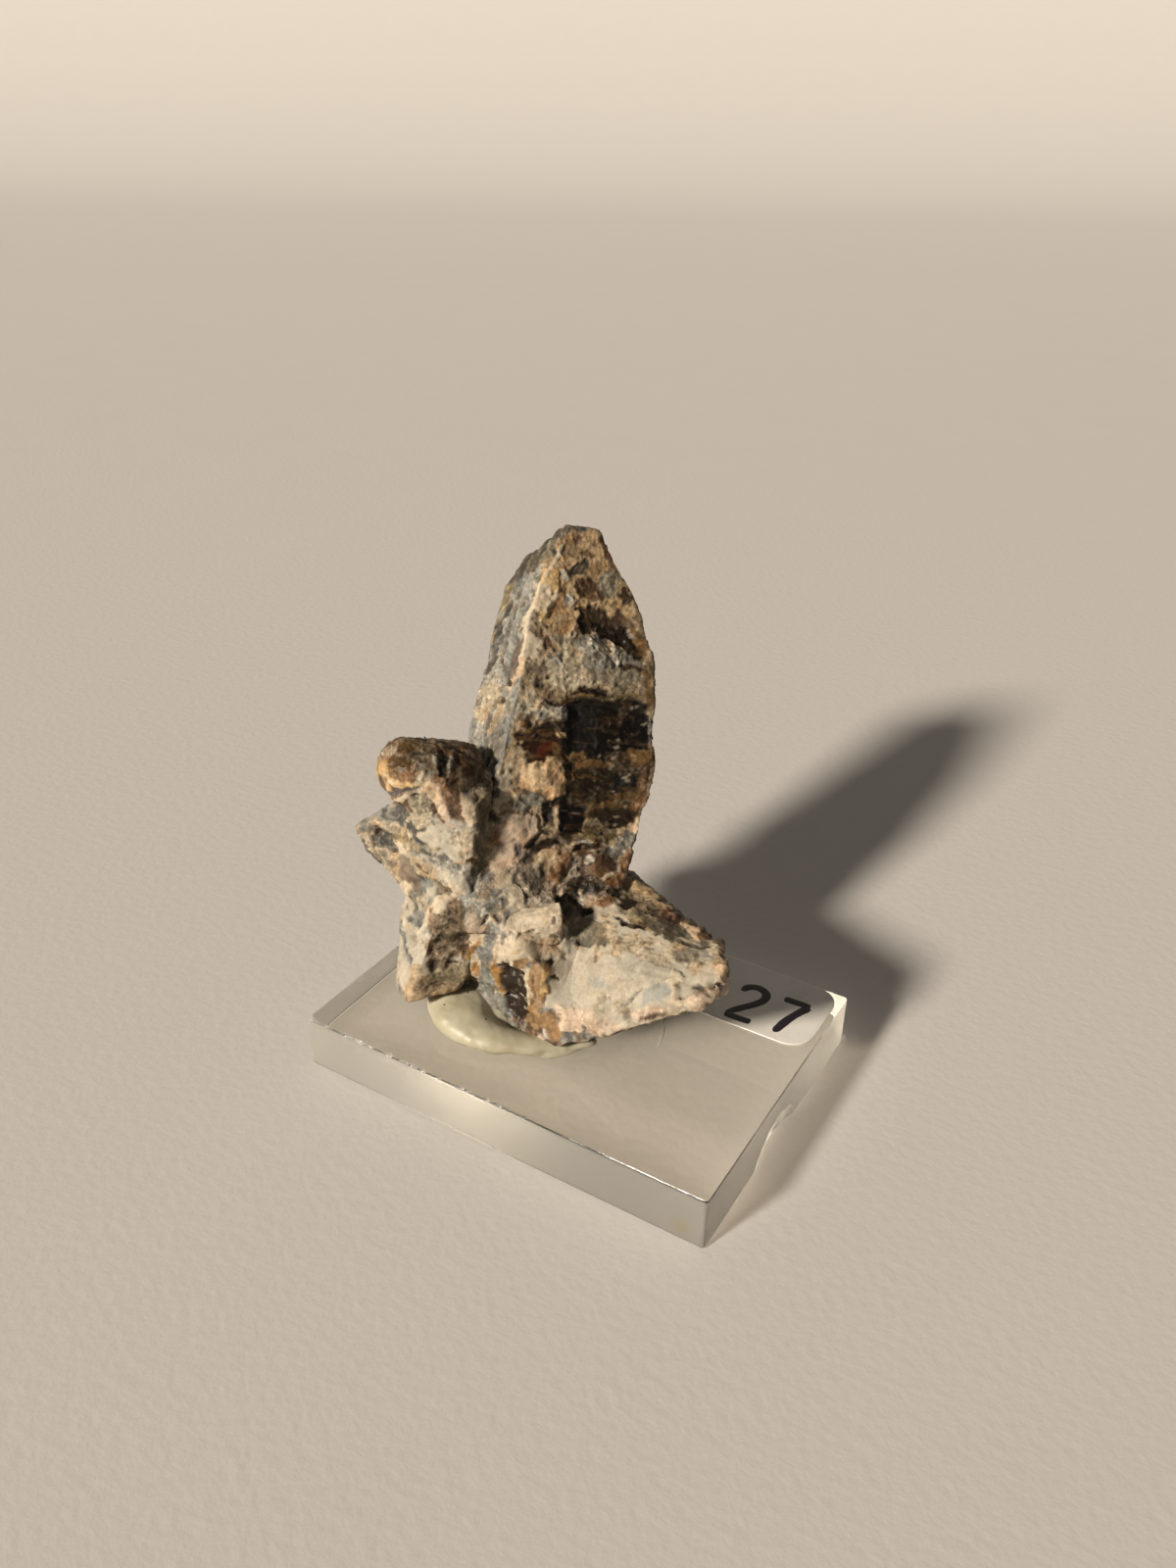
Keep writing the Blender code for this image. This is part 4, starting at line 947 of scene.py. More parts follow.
    ("cream left part of the chalk", "chalk", 1.5, -4.2, 13.0, 3.3, 2.5, 24, 0, 3),
    ("blue tint", "blue chalk", 10.8, -4.7, 16.2, 1.4, 1.1, -89, 0, 2),
    ("blue tint 2", "blue chalk", 4.0, -4.4, 13.9, 1.1, 0.58, -84, 0, 2),
    ("fold shadow", "grey", 8.3, -5.5, 14.4, 1.6, 0.17, -40, -0.3, 2),
    ("pink lower corner", "pink cream", 4.5, -6.9, 11.3, 2.9, 1.2, 87, 0.15, 3),
    ("pink foot", "pink cream", 6.6, -7.5, 11.5, 1.8, 0.78, -77, 0.1, 2),
    ("white lobe of the fold", "chalk", 8.8, -6.8, 13.2, 1.0, 0.69, -6, 0.4, 2),
    ("pink lower rim", "pink cream", 10.9, -6.3, 14.7, 2.6, 0.37, -75, 0.1, 2),
    ("red underside", "red brown", 11.3, -6.6, 14.5, 1.5, 0.24, -71, -0.1, 2),
    ("raised lobe", "cream", 12.7, -4.0, 16.7, 2.2, 0.92, 34, 0.35, 2),
    ("olive spot on the lobe", "olive sand", 12.9, -3.8, 16.8, 0.48, 0.38, -87, -0.1, 2),
    ("dark spot between lobes", "dark grey", 14.6, -3.3, 17.1, 0.55, 0.34, -48, -0.2, 2),
    ("grey top right", "grey olive", 11.8, -0.5, 17.9, 1.8, 0.8, 66, 0.05, 2),
    ("pale knob at the tip", "cream grey", 14.0, 0.7, 18.5, 1.1, 0.92, 25, 0.2, 2),
    ("rust tip", "peach", 15.9, -1.4, 18.0, 0.9, 0.46, 39, 0.05, 2),
    ("pink lump", "pink cream", 16.2, -3.4, 17.3, 1.2, 0.96, -84, 0.3, 2),
    ("second pink lump", "pink cream", 16.1, -1.0, 16.0, 2.0, 0.58, 75, 0.3, 2),
    ("notch", "black brown", 16.0, -2.3, 17.7, 0.46, 0.18, -48, -0.4, 2),
    ("tip notch", "black brown", 15.4, 0.2, 18.5, 0.58, 0.18, 32, -0.3, 2),
    ("pink under the lumps", "pink cream", 15.3, -4.7, 16.7, 1.1, 0.66, -41, 0.2, 2),
    ("olive tan top", "grey brown", 5.1, 3.9, 18.4, 3.9, 2.3, 56, 0, 3),
    ("pale vein", "olive sand", 3.8, 2.4, 18.1, 1.9, 0.43, 73, 0.1, 2),
    ("pale ridge", "sand", 2.2, 6.1, 18.2, 1.9, 0.86, 77, 0.15, 2),
    ("dark oval pit", "black brown", 2.7, 4.0, 18.4, 0.9, 0.78, -83, -0.35, 2),
    ("dark long pit", "black brown", 4.5, 1.2, 17.8, 1.5, 0.34, 88, -0.25, 2),
    ("olive brown hollow", "dark olive", 8.8, 1.7, 18.4, 2.3, 1.1, 85, -0.05, 2),
    ("rust rim of the prong", "tan", 4.9, 5.8, 18.2, 2.9, 0.59, 65, 0.1, 2),
    ("red rim", "red brown", 8.2, 3.6, 18.4, 1.9, 0.68, 59, 0.1, 2),
    ("pink rim", "peach", 10.8, 2.7, 18.4, 1.5, 0.57, 64, 0.1, 2),
    ("rust rim end", "rust", 12.4, 2.3, 18.4, 0.85, 0.48, 74, 0.1, 2),
    ("dark line under the rim", "dark olive", 11.7, 0.8, 18.4, 1.8, 0.28, -88, -0.15, 2),
    ("white edge line", "white grain", 8.1, 0.1, 17.7, 1.3, 0.1, 73, 0.1, 2),
), "lower": (
    ("dark fibre strip", "grey", -8.1, -6.9, 8.3, 2.6, 1.2, -55, 0, 3),
    ("silver fibre strip", "blue grey", -5.8, -7.2, 7.8, 3.6, 1.6, -50, 0.05, 3),
    ("dark left side", "dark grey", -8.4, -7.0, 8.0, 2.2, 0.55, -59, -0.1, 2),
    ("pale fibre foot", "pale grey", -2.5, -7.8, 6.6, 1.4, 0.66, -7, 0.05, 2),
    ("brown rib foot", "caramel", 0.6, -7.3, 9.6, 2.4, 1.4, -9, 0.1, 3),
    ("clear chips", "pink cream", 0.1, -7.9, 7.3, 0.58, 0.52, -88, 0.25, 2),
    ("second clear chip", "white grain", 0.5, -7.6, 8.2, 0.53, 0.35, 69, 0.2, 2),
    ("rust chips", "rust", -0.8, -7.8, 7.1, 0.68, 0.45, -8, 0.15, 2),
    ("pink corner of the lower rim", "pink cream", 2.7, -7.2, 10.5, 1.3, 1.0, -58, 0.05, 2),
), "lower_left": (
    ("second brown seam", "brown", -13.6, -7.1, 21.2, 2.0, 0.09, 27, -0.15, 2),
    ("white left edge", "cream", -16.6, -7.7, 17.1, 2.8, 0.75, 88, 0.1, 2),
    ("first white streak of the foot", "cream", -15.8, -8.5, 16.3, 2.5, 0.61, -9, 0.08, 3),
    ("second white streak of the foot", "chalk", -14.8, -8.8, 16.6, 4.0, 0.52, 7, 0.08, 3),
    ("grey streak 1", "blue grey", -14.4, -8.6, 17.4, 1.7, 0.63, 72, -0.05, 2),
    ("grey streak 2", "blue grey", -10.5, -8.1, 20.2, 1.2, 0.49, -75, -0.05, 2),
    ("grey streak 3", "blue grey", -11.4, -9.7, 17.9, 1.9, 0.48, 71, -0.05, 2),
    ("grey streak 4", "blue grey", -13.4, -7.5, 20.5, 1.6, 0.51, 73, -0.05, 2),
    ("cream band between", "cream", -11.6, -8.9, 19.4, 4.2, 0.51, 77, 0.1, 3),
    ("hole", "black brown", -14.0, -9.8, 15.3, 0.43, 0.24, 23, -0.4, 2),
    ("white face", "chalk", -13.1, -10.6, 14.2, 2.6, 1.6, -29, 0, 3),
    ("grey line on the white face", "blue grey", -14.8, -9.9, 14.2, 2.1, 0.34, -25, -0.03, 2),
    ("rough dark front", "grey brown", -10.0, -8.7, 17.2, 2.4, 2.1, -59, -0.05, 3),
    ("dark hollow", "grey brown", -10.5, -9.7, 14.7, 2.3, 1.3, 21, -0.1, 2),
    ("black spot", "black brown", -9.3, -8.8, 13.3, 0.6, 0.44, 34, -0.25, 2),
    ("chip", "pale grey", -9.3, -8.6, 13.9, 0.58, 0.23, 70, 0.2, 2),
    ("sandy front", "olive sand", -9.6, -9.2, 12.5, 2.2, 0.89, 40, 0, 2),
    ("sandy left foot", "sand", -12.1, -11.8, 12.6, 1.2, 1.1, 13, 0.05, 2),
    ("tan foot", "sand", -10.8, -10.7, 11.0, 2.5, 1.0, 52, 0.1, 3),
    ("rust line", "rust", -10.4, -10.2, 11.4, 0.68, 0.14, 58, -0.05, 2),
    ("peach sole", "peach", -12.5, -12.6, 10.6, 1.4, 0.67, 39, 0.05, 2),
), "wedge": (
    ("grey wedge edge", "blue grey", -21.8, -5.6, 24.8, 1.6, 0.66, -28, 0, 3),
    ("cream wedge", "cream grey", -20.1, -5.8, 24.2, 1.9, 0.8, 61, 0.1, 2),
    ("wedge hollow", "dark grey", -19.6, -6.5, 23.1, 1.5, 0.79, 78, -0.3, 3),
    ("dark wedge spot", "dark brown", -20.9, -6.2, 23.9, 0.64, 0.41, 50, -0.1, 2),
    ("pink tip", "peach", -22.4, -6.7, 22.0, 0.96, 0.6, -37, 0.1, 2),
    ("purple tip", "purple grey", -22.2, -6.7, 22.1, 0.73, 0.49, -72, -0.1, 2),
    ("pale wedge foot", "cream grey", -18.5, -7.5, 21.6, 2.2, 0.88, 78, 0.05, 2),
    ("cream wedge ridge", "cream", -17.6, -6.3, 23.0, 1.7, 0.3, 55, 0.2, 2),
    # The brown grey on the spur's side and on the tooth's right side is painted shade: the shaded
    # side of the tooth and the recess beside it.
    ("brown side of the spur", "brown grey", -16.3, -7.2, 21.6, 1.4, 0.71, 47, 0, 3),
    ("pale tooth", "cream", -15.8, -8.3, 20.1, 1.2, 0.84, -17, 0.15, 2),
    ("dark side of the tooth", "brown grey", -15.0, -7.6, 20.7, 1.6, 0.51, 41, 0, 2),
), "barrel": (
    ("gold cap of the barrel", "gold brown", -18.0, -3.9, 33.7, 1.9, 1.3, 10, 0.1, 2),
    ("pale window top", "pale grey", -19.7, -4.8, 33.1, 1.1, 0.85, -24, 0.1, 2),
    ("golden halo", "gold cream", -17.7, -7.0, 32.0, 1.6, 1.4, -34, 0.1, 3),
    ("amber window", "gold brown", -17.4, -6.7, 33.0, 2.0, 1.3, -48, -0.25, 3),
    ("cream lip", "cream", -17.5, -7.1, 30.5, 1.7, 0.37, -36, 0.3, 2),
    ("golden lip", "gold cream", -16.3, -6.6, 30.8, 1.4, 0.41, -25, 0.15, 2),
    ("rough ridged top", "grey brown", -15.3, -4.4, 33.3, 1.6, 1.4, 76, 0.1, 3),
    ("gold brown strip by the halo", "rust", -16.3, -6.6, 31.7, 1.0, 0.51, -25, 0.05, 2),
    ("cream vein", "cream grey", -15.0, -6.0, 32.2, 1.3, 0.37, 27, 0.2, 2),
    ("white vein", "pale grey", -14.1, -4.2, 33.0, 1.4, 0.24, 61, 0.25, 2),
    ("second white vein", "pale grey", -13.7, -2.4, 32.4, 2.4, 0.25, 12, 0.25, 2),
    ("dark gap between the veins", "black brown", -14.0, -3.3, 32.8, 2.3, 0.46, 24, -0.2, 2),
    # The brown of the barrel's dark side is painted shade on the side that faces the main crystal.
    ("dark side of the barrel", "brown", -13.5, -0.7, 31.8, 3.2, 1.0, 28, 0, 2),
    ("brown stripes", "brown", -12.3, -4.1, 29.7, 2.9, 0.99, 71, 0.05, 2),
    ("rust stripe", "rust", -12.5, -5.2, 31.2, 1.7, 0.49, 87, 0.05, 2),
    ("neck shadow", "purple grey", -17.6, -6.9, 29.5, 3.9, 0.41, 1, -0.2, 2),
    ("pale neck lip", "cream", -17.2, -7.0, 28.8, 3.9, 0.25, 3, 0.15, 2),
    ("dark neck notch", "black brown", -15.3, -6.4, 29.8, 0.5, 0.26, -30, -0.25, 2),
    ("peach neck", "peach", -13.8, -5.8, 30.4, 1.2, 0.87, -88, 0.15, 2),
    ("green cream waist", "cream grey", -14.6, -6.2, 28.2, 1.5, 1.1, 89, 0.05, 2),
), "waist": (
    ("peach neck right", "pink cream", -12.5, -5.2, 28.4, 1.3, 0.62, 88, 0.1, 2),
    ("pale vein of the neck", "cream", -10.5, -4.3, 29.2, 2.5, 0.51, 58, 0.1, 2),
    ("brown vein of the neck", "brown", -11.5, -4.5, 29.5, 1.9, 0.3, 58, -0.05, 2),
    ("cream foot of the neck", "cream grey", -9.8, -5.5, 25.6, 1.5, 0.93, 88, 0.1, 3),
    ("white chip", "white grain", -11.8, -5.3, 27.5, 0.29, 0.2, -56, 0.1, 2),
    ("rust chip", "rust", -12.7, -5.5, 27.7, 0.48, 0.31, -79, 0, 2),
    ("dark neck patch", "dark grey", -18.6, -4.7, 26.0, 3.1, 0.87, -4, -0.15, 2),
    ("second dark neck patch", "dark grey", -15.8, -6.6, 26.0, 3.1, 0.52, -5, -0.1, 2),
    ("white waist", "chalk", -12.9, -6.5, 25.1, 2.0, 1.6, -50, 0.05, 3),
    ("dark streaks on the waist", "dark grey", -14.8, -7.0, 25.2, 1.4, 0.31, -65, -0.05, 2),
    ("green streak", "olive sand", -15.6, -7.1, 24.5, 4.4, 0.39, -13, 0.05, 2),
    ("grey streaks low", "grey", -13.6, -6.9, 24.4, 1.4, 0.31, -59, -0.05, 2),
    ("purple facet", "cream grey", -11.2, -5.7, 26.1, 0.72, 0.38, 6, 0.05, 3),
    ("purple facet low", "sand", -10.3, -5.8, 25.1, 0.83, 0.29, 2, 0.05, 3),
    ("cream seam of the waist", "peach", -9.8, -6.0, 24.2, 1.6, 0.24, -18, 0.15, 2),
    ("layered cream edge", "sand", -13.7, -7.7, 22.5, 2.3, 0.84, -69, 0.15, 3),
    ("brown seam", "brown", -14.1, -7.9, 22.2, 1.2, 0.09, -54, -0.15, 2),
    ("brown nick in the waist", "brown", -9.0, -5.2, 23.8, 1.6, 0.29, -45, -0.1, 2),
    ("grey flank", "pale grey", -12.0, -6.8, 23.6, 1.2, 0.82, -61, 0.05, 2),
    ("grey core left", "blue grey", -8.9, -7.0, 20.8, 1.4, 0.68, 25, 0, 2),
), "core": (
    ("ochre patch", "ochre", -8.2, -7.4, 14.9, 1.2, 0.35, 64, 0.1, 2),
    ("ochre strip", "ochre", -8.1, -7.6, 12.7, 1.0, 0.29, -88, 0.05, 2),
    ("rough grey core", "pale grey", -7.3, -5.4, 21.0, 2.4, 1.6, 72, 0, 3),
    ("dark grey core", "blue grey", -7.0, -5.6, 20.6, 1.6, 0.85, 80, -0.05, 2),
    ("cream seam of the core", "cream", -6.2, -3.6, 20.6, 2.4, 0.76, 87, 0.15, 2),
    ("core hole", "dark brown", -6.8, -6.9, 18.9, 0.62, 0.24, 63, -0.45, 2),
    ("second core hole", "dark brown", -5.7, -6.8, 19.1, 0.49, 0.31, -16, -0.45, 2),
    ("rust under the holes", "rust", -6.3, -7.0, 18.2, 0.63, 0.29, 44, 0, 2),
    ("grey fibre top", "blue grey", -6.4, -7.1, 16.3, 2.3, 0.79, 64, 0.05, 3),
    ("grey fibre strip", "blue grey", -7.1, -7.5, 12.8, 3.5, 1.1, 84, 0.05, 3),
    ("cream rim of the window", "peach", -5.8, -7.2, 15.0, 1.7, 0.16, 78, 0.15, 2),
    ("cream hood", "cream", -2.1, -6.1, 16.6, 4.0, 1.3, -25, -0.5, 3),
    ("peach spot", "peach", -3.3, -6.8, 16.4, 0.57, 0.26, 23, 0, 2),
    ("ochre window edge", "ochre", -5.3, -7.4, 12.5, 1.5, 0.61, -72, 0.05, 3),
    ("gold window top", "caramel", -3.0, -6.9, 15.0, 1.1, 0.56, 15, 0.05, 2),
    ("window", "window", -3.5, -7.3, 11.3, 3.1, 1.4, -82, -0.45, 5),
    ("window corner", "dark brown", -4.3, -7.1, 14.0, 1.1, 0.65, -42, -0.3, 2),
    ("golden rib", "caramel", -0.6, -7.0, 12.4, 3.1, 0.88, -87, 0.2, 4),
    ("pale gold rib", "gold cream", -0.3, -6.8, 13.6, 1.6, 0.33, -86, 0.1, 2),
    ("brown line in the rib", "brown", -1.2, -7.0, 12.6, 2.0, 0.11, -86, -0.15, 2),
    ("blue black spot on the band", "blue black", -0.1, -5.2, 15.3, 0.51, 0.36, -35, -0.1, 2),
    ("second blue black spot", "dark brown", 0.2, -5.6, 13.4, 0.55, 0.29, -34, -0.15, 2),
    ("dark mark on the shoulder", "dark grey", 0.4, -1.9, 15.9, 0.62, 0.21, -36, -0.05, 2),
), "knob": (
    ("knob cream", "cream", -2.4, -4.3, 19.8, 2.9, 1.8, 61, 0.05, 3),
    ("knob dark spot", "dark grey", -0.8, -4.2, 19.5, 0.34, 0.31, 61, -0.15, 2),
    ("peach band", "peach", -0.6, -4.3, 16.4, 1.8, 0.59, 65, 0.05, 2),
)}
print(sum(len(rows) for rows in MARKINGS.values()), "markings")

# %% [markdown]
# ## Painting
# Painting works on all the points of a crystal at once. The seven numbers of a finish travel
# together, so colour, gloss and roughness change over the same border. Nature draws no clean
# borders: every outline is bent by two noises, and frayed where one finish gives way to the
# next. On fibrous faces the noise that divides the two finishes is stretched lengthwise.

# %% Two finishes on each face
GLOSS, GRAIN, FIBRE, LEDGE = 3, 4, 5, 6
CLOUD_SIZE = 1.7
LONG_CLOUD_STRETCH, LONG_CLOUD_SIZE = (1.0, 1.0, 6.0), 0.9
FIBROUS_FROM, FIBROUS_GAIN = 0.3, 1.3
FINISH_SOFTNESS = 0.35


def base_finish(name, points, shares):
    """Each face's two finishes, divided by a noise that runs lengthwise where they are fibrous."""
    table = FACE_FINISHES[name]
    rows = [table.get(face, table[""]) for face in CRYSTALS[name]["faces"]]
    first, second = (shares @ np.array([FINISHES[row[k]] for row in rows]) for k in (0, 1))
    limit = shares @ (0.5 - np.array([row[2] for row in rows]))
    cloud = layered_noise(points, CLOUD_SIZE, 4, SEEDS["cloud"])
    stretched = own_places(name, points) / LONG_CLOUD_STRETCH
    long_cloud = layered_noise(stretched, LONG_CLOUD_SIZE, 3, SEEDS["long cloud"])
    fibrous = np.clip(first[:, FIBRE] * FIBROUS_GAIN - FIBROUS_FROM, 0.0, 1.0)
    cloud += fibrous * (long_cloud - cloud)
    part = soft_step(cloud - limit, 0.0, FINISH_SOFTNESS)[:, None]
    return first * (1.0 - part) + second * part


print("the main crystal's left face is", " and ".join(FACE_FINISHES["main"]["left"][:2]))

# %% Markings over them
BENDS = ((1.5, 0.34), (0.6, 0.20))  # (size, reach) of each noise that bends outlines
FULL_BEND_FROM = 0.8  # narrower markings bend less
BOX_POWER, BOX_BEND = 4, 0.55  # and so do boxes, which have a power above this
BORDER, BORDER_LIMIT = 0.5, 0.9
MARKING_DEPTH = (0.3, 1.0)  # of both half sizes together, and what is added
SEARCH_REACH = (1.6, 1.5)  # of the longer half size, and what is added
FRAY_SIZE, FRAY_GAIN, FRAY = 0.45, 1.6, 0.42
FRAYED_EDGE, OUTER_EDGE = (0.5, 0.5), (0.06, 0.12)
MARKING_RELIEF = 0.7


def bent_points(points):
    """Points pushed about by smooth noises, so that shapes drawn with them have rough outlines."""
    moved = points.copy()
    for layer, (size, reach) in enumerate(BENDS):
        for axis in range(3):
            seed = SEEDS["outline bend"] + 3 * layer + axis
            moved[:, axis] += 2.0 * reach * smooth_noise(points / size, seed)
    return moved


def marking_axes(name, centre):
    """Across, along and outward directions in the plane of the face that the centre lies on."""
    normals, distances = PLANES[name]
    normal = normals[np.argmin(np.abs(normals @ centre - distances))]
    axis = AXES[name][2]
    along = axis - (axis @ normal) * normal
    along /= np.linalg.norm(along)
    return np.array((np.cross(along, normal), along, normal))


def marking_weight(name, shape, power, points, bent, fray):
    """1 inside a marking, 0 outside: (|x|^p + |y|^p + |z|^p)^(1/p) of the bent points, frayed."""
    centre = np.array(shape[:3])
    long, short, turn = shape[3:]
    weight = np.zeros(len(points))
    far = SEARCH_REACH[0] * max(long, short) + SEARCH_REACH[1]
    near = np.flatnonzero(np.abs(points - centre).max(axis=1) < far)
    if not len(near):
        return weight
    bend = min(1.0, short / FULL_BEND_FROM) * (BOX_BEND if power > BOX_POWER else 1.0)
    moved = points[near] + bend * (bent[near] - points[near])
    own = (moved - centre) @ marking_axes(name, centre).T
    angle = math.radians(turn)
    x = (own[:, 0] * math.cos(angle) + own[:, 1] * math.sin(angle)) / long
    y = (own[:, 1] * math.cos(angle) - own[:, 0] * math.sin(angle)) / short
    z = own[:, 2] / (MARKING_DEPTH[0] * (long + short) + MARKING_DEPTH[1])
    reach = (np.abs(x) ** power + np.abs(y) ** power + np.abs(z) ** power) ** (1.0 / power)
    inside = 1.0 - soft_step(reach, 1.0, min(BORDER / short, BORDER_LIMIT))
    broken = soft_step(inside + FRAY * fray[near], *FRAYED_EDGE)
    weight[near] = broken * soft_step(inside, *OUTER_EDGE)
    return weight


def painted(name, points, shares):
    """The finish of every point and the height that the markings add."""
    finish = base_finish(name, points, shares)
    bent = bent_points(points)
    fray = np.clip(FRAY_GAIN * layered_noise(points, FRAY_SIZE, 2, SEEDS["fray"]), -1.0, 1.0)
    height = np.zeros(len(points))
    for owner, rows in MARKINGS.items():
        for _title, kind, *shape, relief, power in rows:
            weight = marking_weight(owner, shape, power, points, bent, fray)
            finish += weight[:, None] * (np.array(FINISHES[kind]) - finish)
            height += weight * MARKING_RELIEF * relief
    return finish, height


print("outlines bend by", [reach for _size, reach in BENDS], "mm")

# %% [markdown]
# ## Fine relief
# The fine relief follows the finish. Grainy ones crumble, fibrous ones are combed along the
# crystal, and ledged ones break into low steps across it, as augite cleaves.

# %% Fine relief
CRUMB_SIZES = (1.5, 0.8, 0.42)
CRUMB_FADE = 0.72
CRUMB_SHARPNESS = 2.6
CRUMB_HEIGHT, CRUMB_MEAN = 0.15, 0.3
LEDGE_SIZE, LEDGE_HEIGHT = (1.6, 1.6, 0.75), 0.22
LEDGE_BEND, LEDGE_BEND_SIZE = 0.3, 1.1
GROOVE_EDGE, LEDGE_GROOVE = (0.08, 0.16), 0.05
COMB_SIZE, FIBRE_HEIGHT = (0.40, 0.40, 5.0), 0.07


def crumbs(points):
    """Ridged noise: one minus the size of a smooth noise, in three sizes, about zero."""
    total = np.zeros(len(points))
    for layer, size in enumerate(CRUMB_SIZES):
        ridge = np.abs(smooth_noise(points / size, SEEDS["crumb"] + layer))
        total += CRUMB_FADE ** layer * (1.0 - CRUMB_SHARPNESS * ridge)
    return total - CRUMB_MEAN * sum(CRUMB_FADE ** layer for layer in range(len(CRUMB_SIZES)))


def fine_patterns(name, points):
    """The ledges' steps and grooves, the crumbs and the combed fibres, before any strength."""
    own = own_places(name, points)
    bend = LEDGE_BEND * smooth_noise(points / LEDGE_BEND_SIZE, SEEDS["ledge bend"])
    step, border = cell_noise((own + bend[:, None]) / LEDGE_SIZE, SEEDS["ledge"])
    groove = 1.0 - soft_step(border, *GROOVE_EDGE)
    comb = layered_noise(own / COMB_SIZE, 1.0, 3, SEEDS["comb"])
    return step, groove, crumbs(points), comb


def fine_relief(finish, step, groove, crumb, comb):
    """The patterns' height, each as strong as the finish asks."""
    relief = finish[:, GRAIN] * crumb * CRUMB_HEIGHT + finish[:, FIBRE] * comb * FIBRE_HEIGHT
    return relief + finish[:, LEDGE] * ((step - 0.5) * LEDGE_HEIGHT - groove * LEDGE_GROOVE)


print("crumbs are", CRUMB_SIZES, "mm wide")

# %% [markdown]
# ## Tint
# The same patterns change the colour. Crumbs carry pale dust and the pits between them stay
# dark, rust stains the grainy crust, brown streaks run across the dark ledges, and a few small
# cells on the glossy parts are painted pale, a painted highlight where cleavage faces would glint.

# %% Tint
CLOUD_TINT, CLOUD_TINT_SIZE = 0.15, 2.4
CRUMB_TINT, FIBRE_TINT, LEDGE_TINT, GROOVE_TINT = 0.22, 0.7, 0.9, 0.35
SHADE_SPAN = (0.3, 2.0)
STREAK, STREAK_SHARE = (0.115, 0.066, 0.024), 0.45
STREAK_SIZE, STREAK_EDGE = (1.8, 1.8, 0.40), (0.26, 0.3)
STREAK_AREA, STREAK_AREA_SIZE = 0.35, 2.8
STAIN_TONE, STAIN_SHARE = (1.05, 0.78, 0.52), 0.75
RUST_SIZE, RUST_EDGE = 1.5, (0.25, 0.5)
DUST, DUST_SHARE, DUST_EDGE = (0.40, 0.35, 0.27), 0.45, (0.75, 0.5)
GLOSS_SHEDS_DUST = 0.6
PIT_SHARE, PIT_EDGE = 0.48, (-0.7, 0.6)
# The glint constants below paint highlights into the colour: a few glossy cells are made pale.
PAINTED_GLINT, GLINT_SHARE, GLINT_SIZE = (0.42, 0.36, 0.27), 0.6, (0.55, 0.55, 0.32)
GLINT_PICK_EDGE, GLINT_BORDER_EDGE = (0.90, 0.04), (0.2, 0.3)
GLINT_AREA_SIZE, GLINT_AREA_EDGE = 3.5, (0.12, 0.3)
GLINT_GLOSS_GAIN, GLINT_GLOSS_FROM = 2.0, 0.6


def towards(colour, share, goal):
    """Colours moved towards one colour, each by its own share."""
    return colour + share[:, None] * (np.array(goal) - colour)


def painted_glint_share(own, points, gloss):
    """Where small cells of the glossy parts get a painted highlight: a few cells, in a few areas."""
    pick, border = cell_noise(own / GLINT_SIZE, SEEDS["glint"])
    share = soft_step(pick, *GLINT_PICK_EDGE) * soft_step(border, *GLINT_BORDER_EDGE)
    share *= np.clip(gloss * GLINT_GLOSS_GAIN - GLINT_GLOSS_FROM, 0.0, 1.0)
    area = layered_noise(points, GLINT_AREA_SIZE, 2, SEEDS["glint area"])
    return GLINT_SHARE * share * soft_step(area, *GLINT_AREA_EDGE)


def tinted(name, points, finish, step, groove, crumb, comb):
    """The finish's colour: clouded, streaked, stained by rust, pale on crumbs, dark in pits, with
    painted highlights.
    """
    own = own_places(name, points)
    gloss, grain, fibre, ledge = finish[:, GLOSS:].T
    shade = 1.0 + CLOUD_TINT * layered_noise(points, CLOUD_TINT_SIZE, 2, SEEDS["tint cloud"])
    shade += CRUMB_TINT * grain * crumb + FIBRE_TINT * fibre * comb
    shade += ledge * (LEDGE_TINT * (step - 0.5) - GROOVE_TINT * groove)
    colour = finish[:, :GLOSS] * np.clip(shade, *SHADE_SPAN)[:, None]
    streak = layered_noise(own / STREAK_SIZE, 1.0, 3, SEEDS["streak"])
    streak += STREAK_AREA * smooth_noise(points / STREAK_AREA_SIZE, SEEDS["streak area"])
    colour = towards(colour, STREAK_SHARE * ledge * soft_step(streak, *STREAK_EDGE), STREAK)
    rust = layered_noise(points, RUST_SIZE, 3, SEEDS["rust"])
    stain = STAIN_SHARE * grain * soft_step(rust, *RUST_EDGE)
    colour *= 1.0 + stain[:, None] * (np.array(STAIN_TONE) - 1.0)
    dust = DUST_SHARE * grain * soft_step(crumb, *DUST_EDGE) * (1.0 - GLOSS_SHEDS_DUST * gloss)
    colour = towards(colour, dust, DUST)
    colour *= (1.0 - PIT_SHARE * grain * (1.0 - soft_step(crumb, *PIT_EDGE)))[:, None]
    # Painted highlight: a few glossy cells are moved towards the pale glint colour.
    return towards(colour, painted_glint_share(own, points, gloss), PAINTED_GLINT)


print("streaks, dust and glints have the colours", STREAK, DUST, PAINTED_GLINT)

# %% [markdown]
# ## Dressing a crystal
# A crystal's skin moves along its blended normals by the sum of all these heights. What would
# reach down into the slab is stopped just above it. Weathered crystals are worn rounder.

# %% Dress a crystal
WORN = {"barrel": 0.45, "knob": 0.65, "spur": 0.3, "prong": 0.22, "waist": 0.5, "core": 0.3}
EDGE_ROUNDING = 0.16
ROUGHNESS = ((4.0, 0.28), (1.7, 0.14))
CRYSTAL_FOOT = 6.1


